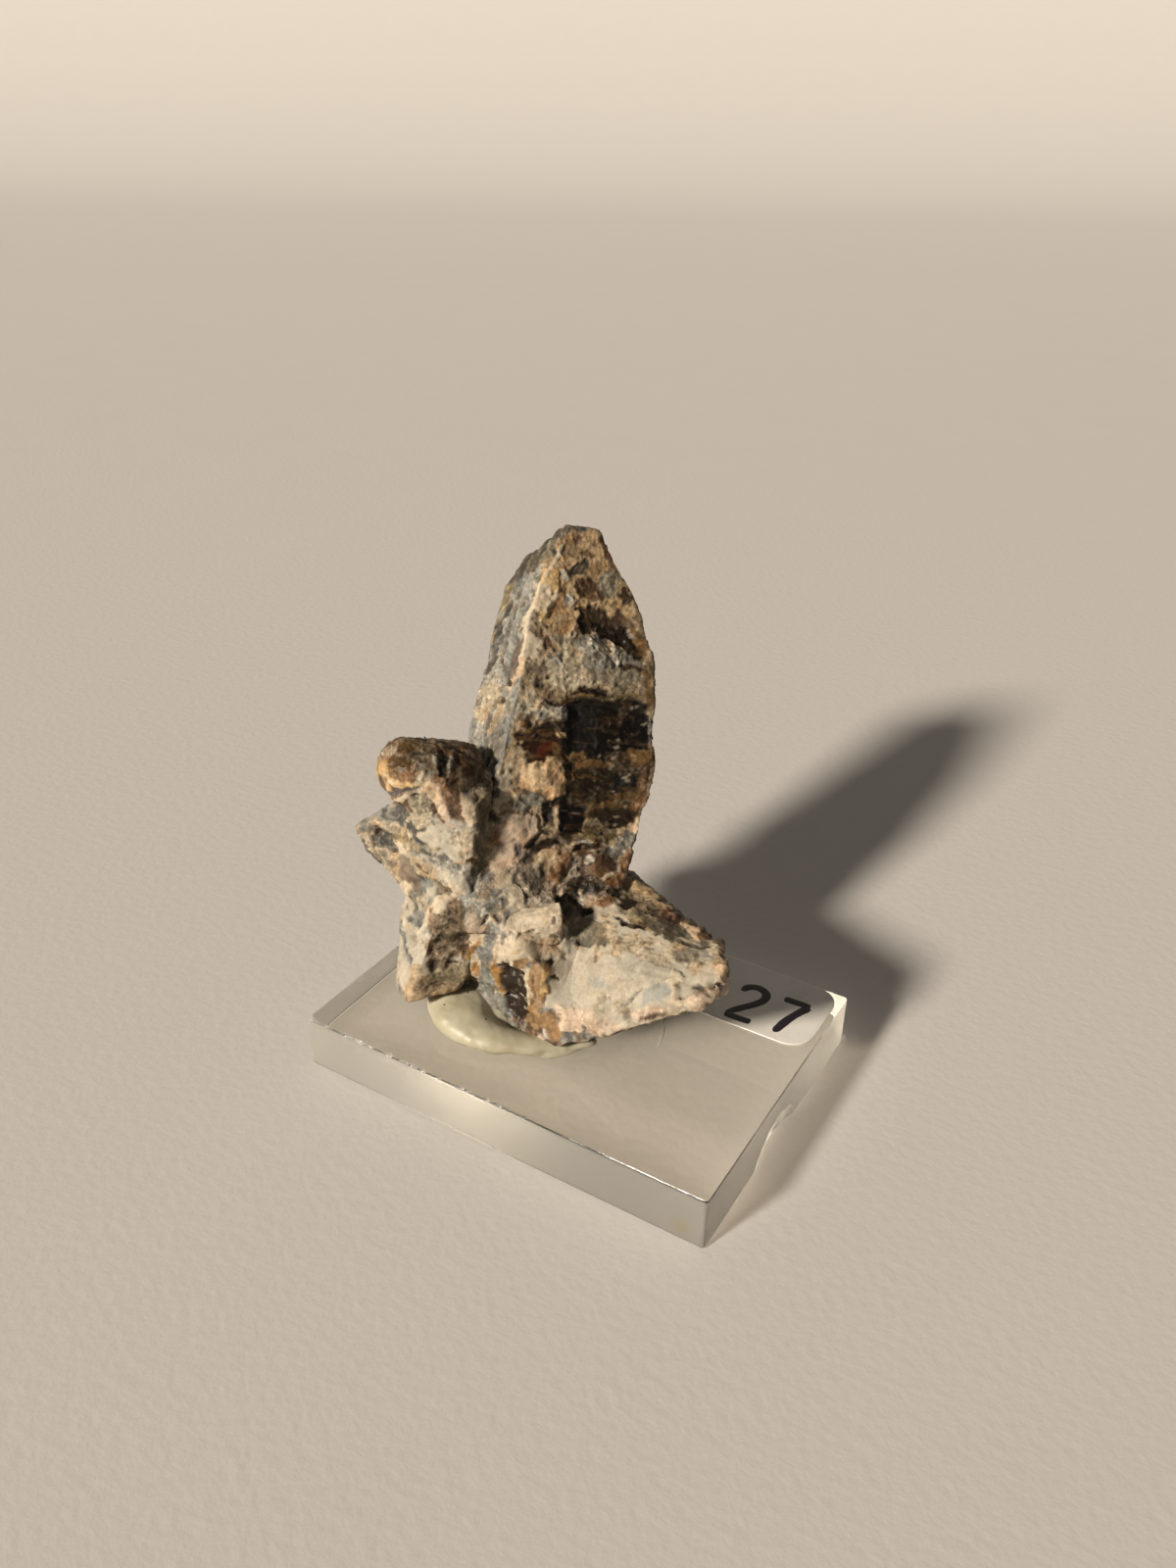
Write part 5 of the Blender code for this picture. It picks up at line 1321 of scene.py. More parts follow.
def finished_crystal(name):
    """One crystal: skin, worn edges, large relief, markings, fine relief and its numbers."""
    points, faces = crystal_skin(name)
    shares, normals, wear = face_shares(points, *PLANES[name], WORN.get(name, EDGE_ROUNDING))
    large = lump_relief(points) + main_relief(points, normals) + joint_fillet(name, points) - wear
    for layer, (size, height) in enumerate(ROUGHNESS):
        large += height * smooth_noise(points / size, SEEDS["roughness"] + layer)
    finish, height = painted(name, points, shares)
    patterns = fine_patterns(name, points)
    moved = points + normals * (large + height + fine_relief(finish, *patterns))[:, None]
    moved[:, 2] = np.maximum(moved[:, 2], CRYSTAL_FOOT)
    thing = make_mesh(f"crystal_{name}", moved, faces)
    add_colour(thing, "tint", tinted(name, points, finish, *patterns))
    add_number(thing, "gloss", finish[:, GLOSS])
    add_number(thing, "grain", finish[:, GRAIN])
    return thing


print("edges are worn over", EDGE_ROUNDING, "mm, or more on", ", ".join(WORN))

# %% [markdown]
# ## The crystals' material
# The vertices carry the colour, the gloss and the grain. The shader adds what is finer than
# the mesh: grains about a third of a millimetre across, some pale and some dark, a mottle, and
# a bump for the tooth between them. Glassy parts get low roughness and almost no bump.

# %% Crystal material
MOTTLE_SCALE, MOTTLE_TINT = 3200.0, (-0.5, 0.6)
GRAIN_SCALE = 3000.0
PALE_PICK, PALE_SHARE, PALE_GAIN, PALE_LIFT = (0.84, 0.92), (0.0, 0.8), 1.6, (0.03, 0.026, 0.02)
DARK_PICK, DARK_SHARE, DARK_GAIN = (0.82, 0.9), (0.0, 0.75), 0.4
MATTE_TO_GLASSY, MOTTLE_ROUGHNESS = (0.8, 0.16), (-0.08, 0.1)
AUGITE_IOR, AUGITE_SPECULAR = 1.6, 0.25
BUMP_STRENGTH, BUMP_DISTANCE, GRAIN_BUMP = (0.08, 0.8), 0.14, -0.5


def grain_cells(tree, place, scale):
    """Voronoi cells, and the red, green and blue of each cell's random colour."""
    cells = add_node(tree, "ShaderNodeTexVoronoi", {"Vector": place, "Scale": scale}).outputs
    return cells, add_node(tree, "ShaderNodeSeparateColor", {"Color": cells["Color"]}).outputs


def augite_material():
    """Vertex tint times a fine mottle, with pale and dark grains where the grain is strong."""
    made, tree, shader = new_material("augite")
    place = object_place(tree)
    tint = stored(tree, "tint", "Color")
    gloss = stored(tree, "gloss")
    grain = stored(tree, "grain")
    mottle = noise(tree, place, MOTTLE_SCALE, 4.0, Roughness=0.7)
    change = math_node(tree, "MULTIPLY", mapped(tree, mottle, NOISE_SPAN, MOTTLE_TINT), grain)
    clouded = scaled(tree, tint, math_node(tree, "ADD", change, 1.0))
    cells, picks = grain_cells(tree, place, GRAIN_SCALE)
    pale = math_node(tree, "MULTIPLY", mapped(tree, picks["Red"], PALE_PICK, PALE_SHARE), grain)
    dark = math_node(tree, "MULTIPLY", mapped(tree, picks["Green"], DARK_PICK, DARK_SHARE), grain)
    lifted = add_node(tree, "ShaderNodeVectorMath", {
        0: scaled(tree, clouded, PALE_GAIN), 1: PALE_LIFT}, operation="ADD").outputs["Vector"]
    with_pale = mixed(tree, pale, clouded, lifted)
    rough = math_node(tree, "ADD", mapped(tree, gloss, UNIT, MATTE_TO_GLASSY),
                      mapped(tree, mottle, NOISE_SPAN, MOTTLE_ROUGHNESS))
    grains = math_node(tree, "MULTIPLY", cells["Distance"], GRAIN_BUMP)
    tooth = math_node(tree, "ADD", mottle, grains)
    set_inputs(tree, shader, {
        "Base Color": mixed(tree, dark, with_pale, scaled(tree, clouded, DARK_GAIN)),
        "Roughness": rough, "IOR": AUGITE_IOR, "Specular IOR Level": AUGITE_SPECULAR,
        "Normal": bumped(tree, tooth, mapped(tree, grain, UNIT, BUMP_STRENGTH), BUMP_DISTANCE)})
    return made


augite = augite_material()
print("material:", augite.name)

# %% [markdown]
# ## Growing the crystals
# Each crystal is its own closed piece, and together they stand for the one solid of the frame.

# %% Make the crystals
total = 0
for name in CRYSTALS:
    crystal = finished_crystal(name)
    crystal.data.materials.append(augite)
    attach(crystal, "root")
    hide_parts("crystal_cluster")
    total += count_triangles(crystal)
    print(crystal.name, count_triangles(crystal), "triangles")
print("crystals together:", total, "triangles")

# %% [markdown]
# ## A tile with rounded edges
# The slab and the label are both flat tiles with rounded edges. Such a tile is one profile
# carried round a rounded rectangle: from the middle of the underside, out and up the side, and
# back in to the middle of the top. The grid lines then follow the edges, which stay straight
# and crisp.

# %% Tile surface
EDGE_STEPS = 5


def rounded_rectangle(half_length, half_width, corner, count):
    """Points and outward directions round a rectangle with round corners, by arc length."""
    straight = (2 * (half_width - corner), 2 * (half_length - corner))
    arc = corner * math.pi / 2
    sides = np.array((straight[0], arc, straight[1], arc) * 2)
    marks = np.concatenate(([0.0], np.cumsum(sides)))
    length = np.arange(count) / count * marks[-1]
    part = np.clip(np.searchsorted(marks, length, side="right") - 1, 0, 7)
    share = (length - marks[part]) / sides[part]
    quarter = part // 2
    on_arc = part % 2 == 1
    angle = quarter * math.pi / 2 + np.where(on_arc, share * math.pi / 2, 0.0)
    out = np.stack((np.cos(angle), np.sin(angle)), -1)
    corner_x = np.array((1, -1, -1, 1))[quarter] * (half_length - corner)
    corner_y = np.array((1, 1, -1, -1))[quarter] * (half_width - corner)
    base = np.stack((corner_x, corner_y), -1).astype(float)
    forward = np.stack((-np.sin(angle), np.cos(angle)), -1)
    run = np.where(on_arc, 0.0, (share - 1.0) * sides[part])
    return base + forward * run[:, None] + out * corner, out


def tile_surface(half_length, half_width, corner, thickness, edge, count, ring_steps, side_rows):
    """A flat tile: rings over the underside, a quarter round, the side, and back over the top."""
    outline, out = rounded_rectangle(half_length, half_width, corner, count)
    bend = np.linspace(0.0, math.pi / 2, EDGE_STEPS)
    rings = 1.0 - np.array(ring_steps) / half_width
    low = [(share, edge, 0.0) for share in rings[::-1]]
    low += [(1.0, edge * (1 - math.sin(a)), edge * (1 - math.cos(a))) for a in bend]
    side = [(1.0, 0.0, h) for h in np.linspace(edge, thickness - edge, side_rows + 2)[1:-1]]
    high = [(share, inset, thickness - height) for share, inset, height in low[::-1]]
    profile = np.array(low + side + high)
    flat = profile[:, 0, None, None] * (outline[None] - out[None] * profile[:, 1, None, None])
    tall = np.broadcast_to(profile[:, 2, None, None], (*flat.shape[:2], 1))
    grid = np.concatenate((flat, tall), -1).reshape(-1, 3)
    points = np.vstack(((0.0, 0.0, 0.0), grid, (0.0, 0.0, thickness)))
    return points, grid_faces(len(profile), count)


print("corner of a tile outline:", np.round(rounded_rectangle(2.0, 1.0, 0.5, 16)[0][2], 2))

# %% [markdown]
# ## The slab
# The base is a block sawn from a sheet of cast acrylic: polished above and below, matte where
# the saw went, with small chips along the front edge and a shell-shaped break at the right
# end. Each break is the bite of a ball: the points inside it move out to its surface.

# %% Slab shape
SLAB_LENGTH, SLAB_WIDTH, SLAB_THICKNESS = 46.0, 33.0, 6.0
SLAB_EDGE, SLAB_CORNER = 0.22, 0.3
SLAB_COLUMNS, SLAB_SIDE_ROWS = 760, 24
SLAB_RINGS = np.concatenate((np.arange(0.22, 3.0, 0.22),
                             np.geomspace(3.2, SLAB_WIDTH / 2 - 0.05, 16)))
CHIPS = (
    ((-20.38, -16.61, 6.17), 0.38),
    ((-17.77, -16.62, 6.18), 0.40),
    ((-15.87, -16.64, 6.21), 0.47),
    ((-12.28, -16.68, 6.27), 0.59),
    ((-10.12, -16.62, 6.19), 0.42),
    ((-8.07, -16.63, 6.19), 0.43),
    ((-6.22, -16.61, 6.17), 0.38),
    ((-3.78, -16.69, 6.28), 0.63),
    ((-0.53, -16.68, 6.27), 0.59),
)
BROKEN_CORNER = ((-23.99, -17.49, 6.99), 2.2)
SHELL_BREAK = ((38.1, -1.0, -1.92), 16.0)
SHELL_WAVES_FROM, SHELL_WAVE_HEIGHT, SHELL_WAVE_RATE = (23.0, -14.0, 0.0), 0.035, 2.6
NICK_COUNT, NICK_SPAN, NICK_SIZES = 46, (-22.6, 4.0), (0.12, 0.34)
NICK_OUT, NICK_UP = 0.2, 0.3
RAGGED, RAGGED_SIZE = 0.07, 0.5
SAWN_SOFTNESS = 0.2
SHELL_CLEARS, BREAK_CLEARS = 0.75, 0.5
STAIN, STAIN_SIZE = (20.6, -16.5, 1.6), 0.9
AMBER_CLOUD, AMBER_CLOUD_SIZE, AMBER_STAIN = 0.35, 6.0, 0.9
CLEAR_TINT, AMBER_TINT = (0.95, 0.945, 0.92), (0.90, 0.81, 0.60)


def bitten(points, centre, radius):
    """Points inside a ball move straight out to its surface, which leaves a round bite."""
    away = points - np.array(centre)
    gap = np.linalg.norm(away, axis=1)
    inside = gap < radius
    points[inside] = np.array(centre) + away[inside] * (radius / gap[inside])[:, None]
    return inside


def edge_nicks():
    """Centres and radii of small bites along the front edge, the same on every run."""
    chance = np.random.default_rng(SEEDS["nicks"])
    places = chance.uniform(*NICK_SPAN, NICK_COUNT)
    front = -SLAB_WIDTH / 2
    return [((place, front - NICK_OUT * size, SLAB_THICKNESS + NICK_UP * size), size)
            for place, size in zip(places, chance.uniform(*NICK_SIZES, NICK_COUNT))]


def clear_slab():
    """The slab with its chips, its broken corner and its shell break."""
    points, faces = tile_surface(SLAB_LENGTH / 2, SLAB_WIDTH / 2, SLAB_CORNER, SLAB_THICKNESS,
                                 SLAB_EDGE, SLAB_COLUMNS, SLAB_RINGS, SLAB_SIDE_ROWS)
    sawn = soft_span(points[:, 2], (SLAB_EDGE, SLAB_THICKNESS - SLAB_EDGE), SAWN_SOFTNESS)
    broken = np.zeros(len(points), bool)
    for bite in (*CHIPS, BROKEN_CORNER):
        broken |= bitten(points, *bite)
    shell = bitten(points, *SHELL_BREAK)
    waves = np.linalg.norm(points - np.array(SHELL_WAVES_FROM), axis=1)
    points[shell, 0] += SHELL_WAVE_HEIGHT * np.sin(waves[shell] * SHELL_WAVE_RATE)
    for bite in edge_nicks():
        broken |= bitten(points, *bite)
    ragged = RAGGED * layered_noise(points, RAGGED_SIZE, 2, SEEDS["broken edge"])
    points[broken] -= ragged[broken, None] * np.array((0.0, -1.0, 1.0))
    slab = make_mesh("clear_slab", points, faces)
    add_number(slab, "frost", sawn * (1.0 - SHELL_CLEARS * shell) * (1.0 - BREAK_CLEARS * broken))
    add_number(slab, "crushed", broken)
    stain = np.exp(-((np.linalg.norm(points - np.array(STAIN), axis=1) / STAIN_SIZE) ** 2))
    cloud = 0.5 + 0.5 * smooth_noise(points / AMBER_CLOUD_SIZE, SEEDS["amber"])
    amber = np.clip(AMBER_CLOUD * cloud * sawn + AMBER_STAIN * stain, 0.0, 1.0)
    add_colour(slab, "tint", towards(np.array(CLEAR_TINT), amber, AMBER_TINT))
    return slab


slab = clear_slab()
print(slab.name, count_triangles(slab), "triangles")

# %% [markdown]
# Clear plastic is a Principled shader with full transmission. The stored frost number makes
# the sawn sides matte, and crushed spots are a little cloudy. Rays from lamps pass straight
# through, a little dimmed, so the slab throws only a faint shadow.

# %% Acrylic material
SMEAR_SPAN, SMEAR_ROUGHNESS = (0.45, 0.75), (0.02, 0.16)
FROST_ROUGHNESS, SAW_BUMP = (0.0, 0.5), (0.0, 0.5)
SAWN_CLEARNESS, CRUSHED_CLEARNESS = 0.86, 0.8
ACRYLIC_IOR = 1.49
SMEAR_SCALE, SMEAR_TWIST = 140.0, 1.5
SAW_SCALE, SAW_DEPTH = 2500.0, 0.06
SHADOW_TINTS = ((0.47, 0.46, 0.43, 1.0), (0.60, 0.57, 0.52, 1.0))


def acrylic_material():
    """Transmission, matte where frosted, with a see-through shader for shadow rays."""
    made, tree, shader = new_material("cast acrylic")
    place = object_place(tree)
    frost = stored(tree, "frost")
    smear = noise(tree, place, SMEAR_SCALE, 3.0, Distortion=SMEAR_TWIST)
    saw = noise(tree, place, SAW_SCALE)
    rough = math_node(tree, "ADD", mapped(tree, smear, SMEAR_SPAN, SMEAR_ROUGHNESS),
                      mapped(tree, frost, UNIT, FROST_ROUGHNESS))
    clearness = math_node(tree, "MULTIPLY", mapped(tree, frost, UNIT, (1.0, SAWN_CLEARNESS)),
                          mapped(tree, stored(tree, "crushed"), UNIT, (1.0, CRUSHED_CLEARNESS)))
    set_inputs(tree, shader, {
        "Base Color": stored(tree, "tint", "Color"), "Roughness": rough,
        "Transmission Weight": clearness, "IOR": ACRYLIC_IOR,
        "Normal": bumped(tree, saw, mapped(tree, frost, UNIT, SAW_BUMP), SAW_DEPTH)})
    through = add_node(tree, "ShaderNodeBsdfTransparent", {
        "Color": mixed(tree, frost, *SHADOW_TINTS)})
    both = add_node(tree, "ShaderNodeMixShader", {
        0: add_node(tree, "ShaderNodeLightPath").outputs["Is Shadow Ray"],
        1: shader.outputs["BSDF"], 2: through.outputs["BSDF"]})
    set_inputs(tree, tree.nodes["Material Output"], {"Surface": both.outputs["Shader"]})
    return made


slab.data.materials.append(acrylic_material())
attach(slab, "root")
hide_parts("acrylic_base")
print(slab.name, "is made of", slab.data.materials[0].name)

# %% [markdown]
# ## Tubes
# Putty beads, ink strokes and fibres are all tubes: a ring of points carried along a smooth
# path, its size changing on the way. Sizes that shrink like a half ball close the ends.

# %% Swept tubes
SMALLEST_END = 1e-4


def smooth_path(knots, count):
    """A Catmull-Rom curve through the knots: each stretch is a cubic of its four neighbours."""
    knots = np.asarray(knots, float)
    padded = np.vstack((2 * knots[0] - knots[1], knots, 2 * knots[-1] - knots[-2]))
    where = np.linspace(0.0, len(knots) - 1.0, count)
    start = np.clip(where.astype(int), 0, len(knots) - 2)
    t = (where - start)[:, None]
    a, b, c, d = (padded[start + k] for k in range(4))
    return 0.5 * (2 * b + (c - a) * t + (2 * a - 5 * b + 4 * c - d) * t ** 2
                  + (3 * b - a - 3 * c + d) * t ** 3)


def swept_tube(path, widths, heights, columns):
    """A ring (width across, height up) carried along a path, closed by a point at each end."""
    ahead = np.gradient(path, axis=0)
    ahead /= np.linalg.norm(ahead, axis=1)[:, None]
    across = np.cross(ahead, (0.0, 0.0, 1.0))
    across /= np.linalg.norm(across, axis=1)[:, None]
    rise = np.cross(across, ahead)
    angle = np.linspace(0.0, 2.0 * math.pi, columns, endpoint=False)
    widths, heights = (sizes[:, None, None] for sizes in (widths, heights))
    rings = path[:, None] + widths * np.cos(angle)[None, :, None] * across[:, None]
    rings = rings + heights * np.sin(angle)[None, :, None] * rise[:, None]
    points = np.vstack((path[:1], rings.reshape(-1, 3), path[-1:]))
    return points, grid_faces(len(path), columns)


def joined(parts):
    """Several (points, faces) pairs as one, each turned right side out."""
    faces, start = [], 0
    for points, own_faces in parts:
        faces += [[start + corner for corner in face] for face in faced_outwards(points, own_faces)]
        start += len(points)
    return np.vstack([points for points, _faces in parts]), faces


def round_ends(count, share):
    """Sizes from 0 to 1 and back to 0, so that a tube's ends close like half balls."""
    part = np.linspace(0.0, 1.0, count)
    edge = np.minimum(np.minimum(part, 1.0 - part) / share, 1.0)
    return np.sqrt(np.clip(1.0 - (1.0 - edge) ** 2, SMALLEST_END, 1.0))


print("sizes along a short tube:", np.round(round_ends(5, 0.5), 2))

# %% [markdown]
# ## The putty
# A soft pale putty holds the crystals. It was rolled and pushed under them, so a fat bead
# curls round the front. The bead is a tube that spreads inwards under the crystals; flattened
# balls fill the middle. A voxel remesh melts them into one skin, and a smoothing step rounds
# the joints as a thumb would.

# %% Putty shape
PUTTY_FLOOR = SLAB_THICKNESS + 0.01
PUTTY_BEAD = (
    (-12.2, -4.2, 1.2), (-12.3, -6.3, 1.75), (-11.2, -8.6, 1.9), (-9.1, -10.2, 1.7),
    (-6.7, -10.9, 1.35), (-4.2, -10.6, 1.1), (-1.6, -9.5, 0.9), (0.8, -7.8, 0.7),
    (2.8, -6.1, 0.55), (4.8, -4.2, 0.45),
)
PUTTY_RINGS, PUTTY_COLUMNS, PUTTY_ENDS = 220, 40, 0.06
PUTTY_MIDDLE, PUTTY_SPREAD = (-4.0, -3.0), 0.75
PUTTY_LIFT, PUTTY_RISE = 0.28, 0.72
PUTTY_DABS = (
    (-7.8, -4.2, 5.2, 2.6), (-1.6, -3.8, 5.4, 1.7), (-4.6, 1.4, 6.4, 2.2), (1.8, 0.6, 4.2, 1.4),
    (-7.6, -8.8, 2.5, 1.9), (-4.8, -9.0, 2.3, 1.3),
)
DAB_ROWS, DAB_COLUMNS = 24, 48
VOXEL, THUMB_STROKES = 0.2, 10
SWELL, SWELL_SIZE = 0.16, 1.9
PUTTY_GRAIN, PUTTY_GRAIN_SIZE = 0.02, 0.5


def ball(centre, radii, rows, columns):
    """Longitude and latitude round a ball, stretched by three radii."""
    latitude = np.linspace(-math.pi / 2, math.pi / 2, rows + 2)[1:-1, None]
    longitude = np.linspace(0.0, 2 * math.pi, columns, endpoint=False)[None, :]
    unit = np.stack(np.broadcast_arrays(
        np.cos(latitude) * np.cos(longitude), np.cos(latitude) * np.sin(longitude),
        np.sin(latitude)), -1).reshape(-1, 3)
    unit = np.vstack(((0, 0, -1), unit, (0, 0, 1)))
    return np.array(centre) + unit * np.array(radii), grid_faces(rows, columns)


def putty_parts():
    """The bead's tube and the flattened balls, still apart."""
    curve = smooth_path(PUTTY_BEAD, PUTTY_RINGS)
    radius = curve[:, 2] * round_ends(PUTTY_RINGS, PUTTY_ENDS)
    inward = np.array(PUTTY_MIDDLE) - curve[:, :2]
    inward /= np.linalg.norm(inward, axis=1)[:, None]
    flat = curve[:, :2] + PUTTY_SPREAD * curve[:, 2:] * inward
    path = np.column_stack((flat, PUTTY_FLOOR + PUTTY_LIFT + PUTTY_RISE * curve[:, 2]))
    parts = [swept_tube(path, (1.0 + PUTTY_SPREAD) * radius, radius, PUTTY_COLUMNS)]
    for across, back, size, height in PUTTY_DABS:
        parts.append(ball((across, back, PUTTY_FLOOR), (size, size, height), DAB_ROWS, DAB_COLUMNS))
    return parts


def melted(thing):
    """Give an object the mesh that its modifiers make: one smoothed voxel skin."""
    melt = thing.modifiers.new("one skin", "REMESH")
    melt.mode = "VOXEL"
    melt.voxel_size = VOXEL * MM
    thing.modifiers.new("thumbed", "SMOOTH").iterations = THUMB_STROKES
    bpy.context.view_layer.update()
    final = thing.evaluated_get(bpy.context.evaluated_depsgraph_get())
    mesh = bpy.data.meshes.new_from_object(final)
    thing.modifiers.clear()
    thing.data = mesh
    return mesh


def vertex_rows(mesh, what):
    """The vertices' co or normal as an array of rows."""
    flat = np.empty(len(mesh.vertices) * 3)
    mesh.vertices.foreach_get(what, flat)
    return flat.reshape(-1, 3)


def putty_bead():
    """Bead and dabs melted into one skin, flat below, with a faint unevenness."""
    putty = make_mesh("putty_bead", *joined(putty_parts()))
    mesh = melted(putty)
    points = vertex_rows(mesh, "co") / MM
    swell = SWELL * layered_noise(points, SWELL_SIZE, 3, SEEDS["putty swell"])
    swell += PUTTY_GRAIN * smooth_noise(points / PUTTY_GRAIN_SIZE, SEEDS["putty grain"])
    points = points + vertex_rows(mesh, "normal") * swell[:, None]
    points[:, 2] = np.maximum(points[:, 2], PUTTY_FLOOR)
    mesh.vertices.foreach_set("co", (points * MM).ravel())
    mesh.update()
    mesh.shade_smooth()
    return putty


putty = putty_bead()
print(putty.name, count_triangles(putty), "triangles")

# %% [markdown]
# Putty is waxy: light goes a little way in before it comes out again. Dust specks sit in it.
# They are the middles of a few Voronoi cells, picked by the cells' random colour.

# %% Putty material
PUTTY_TINTS = ((0.34, 0.315, 0.22, 1.0), (0.40, 0.375, 0.28, 1.0))
PUTTY_ROUGHNESS = (0.34, 0.52)
PUTTY_CLOUD_SCALE, SPECK_SCALE = 350.0, 900.0
SPECK_TINT, SPECK_PICK, SPECK_SIZE = (0.06, 0.05, 0.04, 1.0), (0.90, 0.92), (0.10, 0.16)
SOFT_LIGHT, SOFT_REACH, SOFT_TINTS = 0.25, 0.6, (1.0, 0.8, 0.5)


def putty_material():
    """A cloudy pale body with dark specks, and some subsurface light."""
    made, tree, shader = new_material("pale putty")
    place = object_place(tree)
    cloud = noise(tree, place, PUTTY_CLOUD_SCALE, 3.0)
    specks, picks = grain_cells(tree, place, SPECK_SCALE)
    few = mapped(tree, picks["Red"], SPECK_PICK, UNIT)
    small = mapped(tree, specks["Distance"], SPECK_SIZE, (1.0, 0.0))
    body = mixed(tree, mapped(tree, cloud, CLOUD_SPAN, UNIT), *PUTTY_TINTS)
    set_inputs(tree, shader, {
        "Base Color": mixed(tree, math_node(tree, "MULTIPLY", few, small), body, SPECK_TINT),
        "Roughness": mapped(tree, cloud, NOISE_SPAN, PUTTY_ROUGHNESS),
        "Subsurface Weight": SOFT_LIGHT, "Subsurface Scale": SOFT_REACH * MM,
        "Subsurface Radius": SOFT_TINTS})
    return made


putty.data.materials.append(putty_material())
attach(putty, "root")
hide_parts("putty")
print(putty.name, "is made of", putty.data.materials[0].name)

# %% [markdown]
# ## The label
# A small glossy paper label with round corners lies at the back right of the slab. The paper is
# the same tile as the slab, only thin, and its front corner lifts a little.

# %% Label
LABEL_LENGTH, LABEL_WIDTH, LABEL_CORNER = 20.0, 10.4, 2.6
LABEL_CENTRE = (12.4, 11.1)
LABEL_FOOT = SLAB_THICKNESS + 0.02
LABEL_SHEET, LABEL_EDGE = 0.12, 0.03
LABEL_COLUMNS = 240
LABEL_RINGS = np.concatenate((np.arange(0.3, 2.4, 0.3),
                              np.linspace(2.6, LABEL_WIDTH / 2 - 0.02, 9)))
LABEL_LIFT, LIFT_FROM = 0.16, 0.2
PAPER_TINTS = ((0.70, 0.68, 0.64, 1.0), (0.77, 0.755, 0.72, 1.0))
PAPER_ROUGHNESS = (0.22, 0.34)
PAPER_CLOUD_SCALE = 260.0


def label_height(across, back):
    """How far the paper has lifted: a gentle rise towards its right front corner."""
    reach = (across - LABEL_CENTRE[0]) / LABEL_LENGTH - (back - LABEL_CENTRE[1]) / LABEL_WIDTH
    return LABEL_LIFT * np.clip(reach - LIFT_FROM, 0.0, 1.0) ** 2


def paper_label():
    """The thin tile moved to its place, with the lift added."""
    points, faces = tile_surface(LABEL_LENGTH / 2, LABEL_WIDTH / 2, LABEL_CORNER, LABEL_SHEET,
                                 LABEL_EDGE, LABEL_COLUMNS, LABEL_RINGS, 1)
    points[:, :2] += LABEL_CENTRE
    points[:, 2] += LABEL_FOOT + label_height(points[:, 0], points[:, 1])
    return make_mesh("paper_label", points, faces)


def paper_material():
    """White coated paper with a faint warm cloud."""
    made, tree, shader = new_material("label paper")
    cloud = noise(tree, object_place(tree), PAPER_CLOUD_SCALE, 4.0)
    set_inputs(tree, shader, {
        "Base Color": mixed(tree, mapped(tree, cloud, CLOUD_SPAN, UNIT), *PAPER_TINTS),
        "Roughness": mapped(tree, cloud, NOISE_SPAN, PAPER_ROUGHNESS)})
    return made


label = paper_label()
label.data.materials.append(paper_material())
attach(label, "root")
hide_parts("label")
print(label.name, count_triangles(label), "triangles")

# %% [markdown]
# The label carries a plain collection number in marker. Each stroke is a flat tube with round
# ends, whose width wavers a little as a pen's does, and it follows the paper's lift.

# %% Number on the label
STROKE_WIDTH, STROKE_HEIGHT = 0.95, 0.012
STROKE_ABOVE_PAPER = 0.004
STROKE_RINGS, STROKE_COLUMNS, STROKE_ENDS = 48, 12, 0.12
WAVER, WAVER_SIZE = 0.08, 0.8
INK_SCALE, INK_ROUGHNESS = 1800.0, 0.35
INK_TINTS = ((0.006, 0.005, 0.009, 1.0), (0.022, 0.014, 0.026, 1.0))
FIGURE_TWO = (
    (-1.35, 4.35), (-0.95, 5.35), (0.05, 5.75), (1.05, 5.3), (1.3, 4.3), (0.85, 3.2), (-0.1, 1.9),
    (-1.35, 0.2),
)
FIGURE_TWO_FOOT = ((-1.35, 0.15), (-0.3, 0.1), (0.7, 0.12), (1.6, 0.22))
FIGURE_SEVEN_TOP = ((-1.5, 5.55), (-0.5, 5.6), (0.5, 5.65), (1.45, 5.6))
FIGURE_SEVEN = ((1.4, 5.55), (0.75, 4.2), (0.15, 2.3), (-0.25, 0.0))
STROKES = (
    (14.4, 6.95, FIGURE_TWO), (14.4, 6.95, FIGURE_TWO_FOOT), (18.9, 7.0, FIGURE_SEVEN_TOP),
    (18.9, 7.0, FIGURE_SEVEN),
)


def patchy_material(name, scale, tints, roughness):
    """Two tints divided by a noise, with one roughness."""
    made, tree, shader = new_material(name)
    cloud = noise(tree, object_place(tree), scale)
    set_inputs(tree, shader, {"Base Color": mixed(tree, cloud, *tints), "Roughness": roughness})
    return made


def ink_stroke(across, back, knots):
    """A flat round-ended band along one stroke, lying on the paper."""
    flat = smooth_path(np.array(knots) + (across, back), STROKE_RINGS)
    lift = label_height(flat[:, 0], flat[:, 1])
    path = np.column_stack((flat, LABEL_FOOT + LABEL_SHEET + lift + STROKE_ABOVE_PAPER))
    size = round_ends(STROKE_RINGS, STROKE_ENDS)
    width = STROKE_WIDTH / 2 * size * (1.0 + WAVER * smooth_noise(path / WAVER_SIZE, SEEDS["stroke"]))
    return swept_tube(path, width, STROKE_HEIGHT * size, STROKE_COLUMNS)


ink = make_mesh("ink_number", *joined([ink_stroke(*stroke) for stroke in STROKES]))
ink.data.materials.append(patchy_material("marker ink", INK_SCALE, INK_TINTS, INK_ROUGHNESS))
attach(ink, "root")
print(ink.name, count_triangles(ink), "triangles")

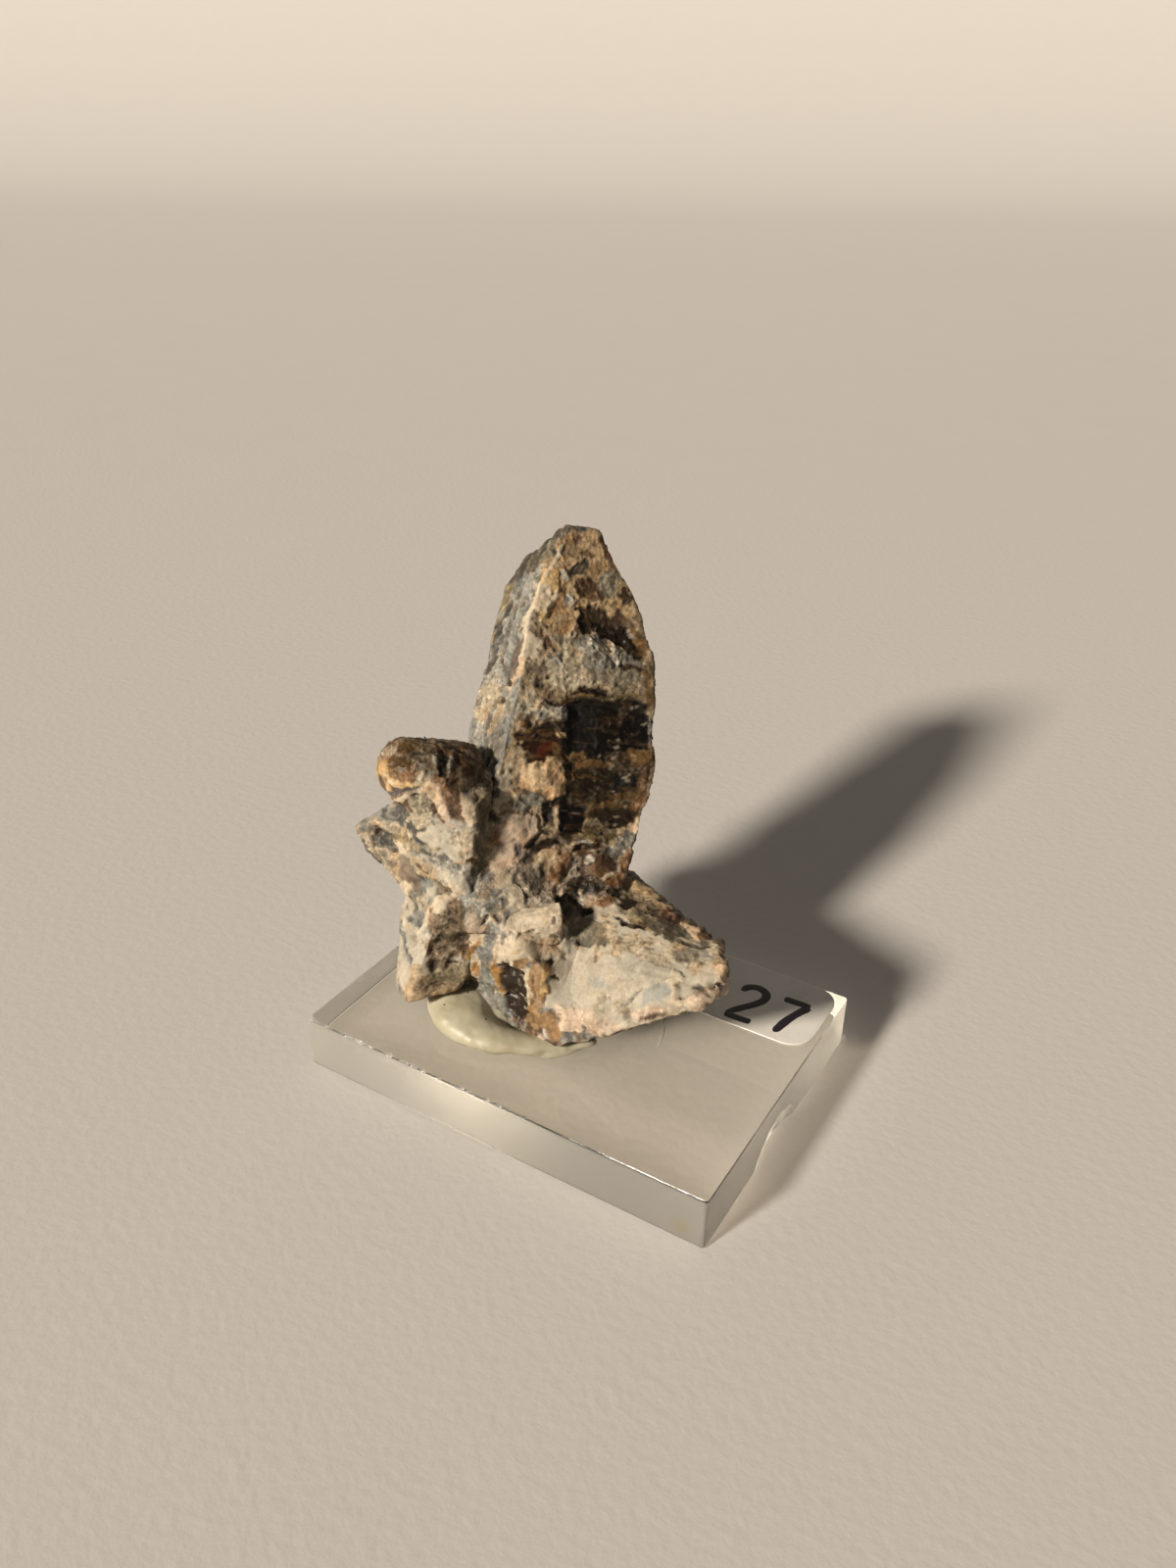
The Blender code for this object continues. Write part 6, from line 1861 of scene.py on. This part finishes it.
# %% [markdown]
# ## Dust and fibres
# An old specimen gathers lint. A pale fibre lies on the slab by the right-hand crystal, and a
# few dark hairs stick to the putty. Each is a thin tube along a bent path.

# %% Fibres
FIBRES = (
    (0.07, ((8.00, 3.08, 7.00), (8.33, 2.06, 6.70),
            (9.05, 1.41, 6.20), (9.39, 0.37, 6.08), (9.68, -1.19, 6.07))),
    (0.05, ((8.14, 2.39, 6.90), (8.79, 1.87, 6.40),
            (9.06, 1.20, 6.10), (9.27, -0.03, 6.06))),
)
HAIRS = (
    (0.05, ((-12.60, -8.43, 7.60), (-12.38, -9.10, 7.00),
            (-11.66, -9.58, 6.50), (-10.69, -10.22, 6.10))),
    (0.035, ((-12.04, -8.12, 8.40), (-12.15, -8.52, 7.60),
             (-12.06, -8.88, 6.60))),
    (0.035, ((-11.85, -10.01, 6.20), (-11.13, -10.14, 6.10),
             (-10.28, -10.45, 6.06))),
    (0.05, ((-7.19, -11.26, 6.40), (-6.66, -11.18, 6.20),
            (-6.06, -11.01, 6.10))),
)
STRAND_RINGS, STRAND_ENDS = 40, 0.1
LINT_SCALE, LINT_ROUGHNESS = 2500.0, 0.6
PALE_LINT = ((0.55, 0.52, 0.46, 1.0), (0.75, 0.73, 0.68, 1.0))
DARK_LINT = ((0.03, 0.02, 0.015, 1.0), (0.10, 0.06, 0.04, 1.0))


def strands(name, rows, columns):
    """Thin tubes along smooth paths, thinner at their ends."""
    parts = []
    for radius, knots in rows:
        sizes = radius * round_ends(STRAND_RINGS, STRAND_ENDS)
        parts.append(swept_tube(smooth_path(knots, STRAND_RINGS), sizes, sizes, columns))
    return make_mesh(name, *joined(parts))


fibre = strands("pale_fibre", FIBRES, 8)
fibre.data.materials.append(patchy_material("pale lint", LINT_SCALE, PALE_LINT, LINT_ROUGHNESS))
hairs = strands("dark_hairs", HAIRS, 6)
hairs.data.materials.append(patchy_material("dark lint", LINT_SCALE, DARK_LINT, LINT_ROUGHNESS))
for strand in (fibre, hairs):
    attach(strand, "root")
    print(strand.name, count_triangles(strand), "triangles")
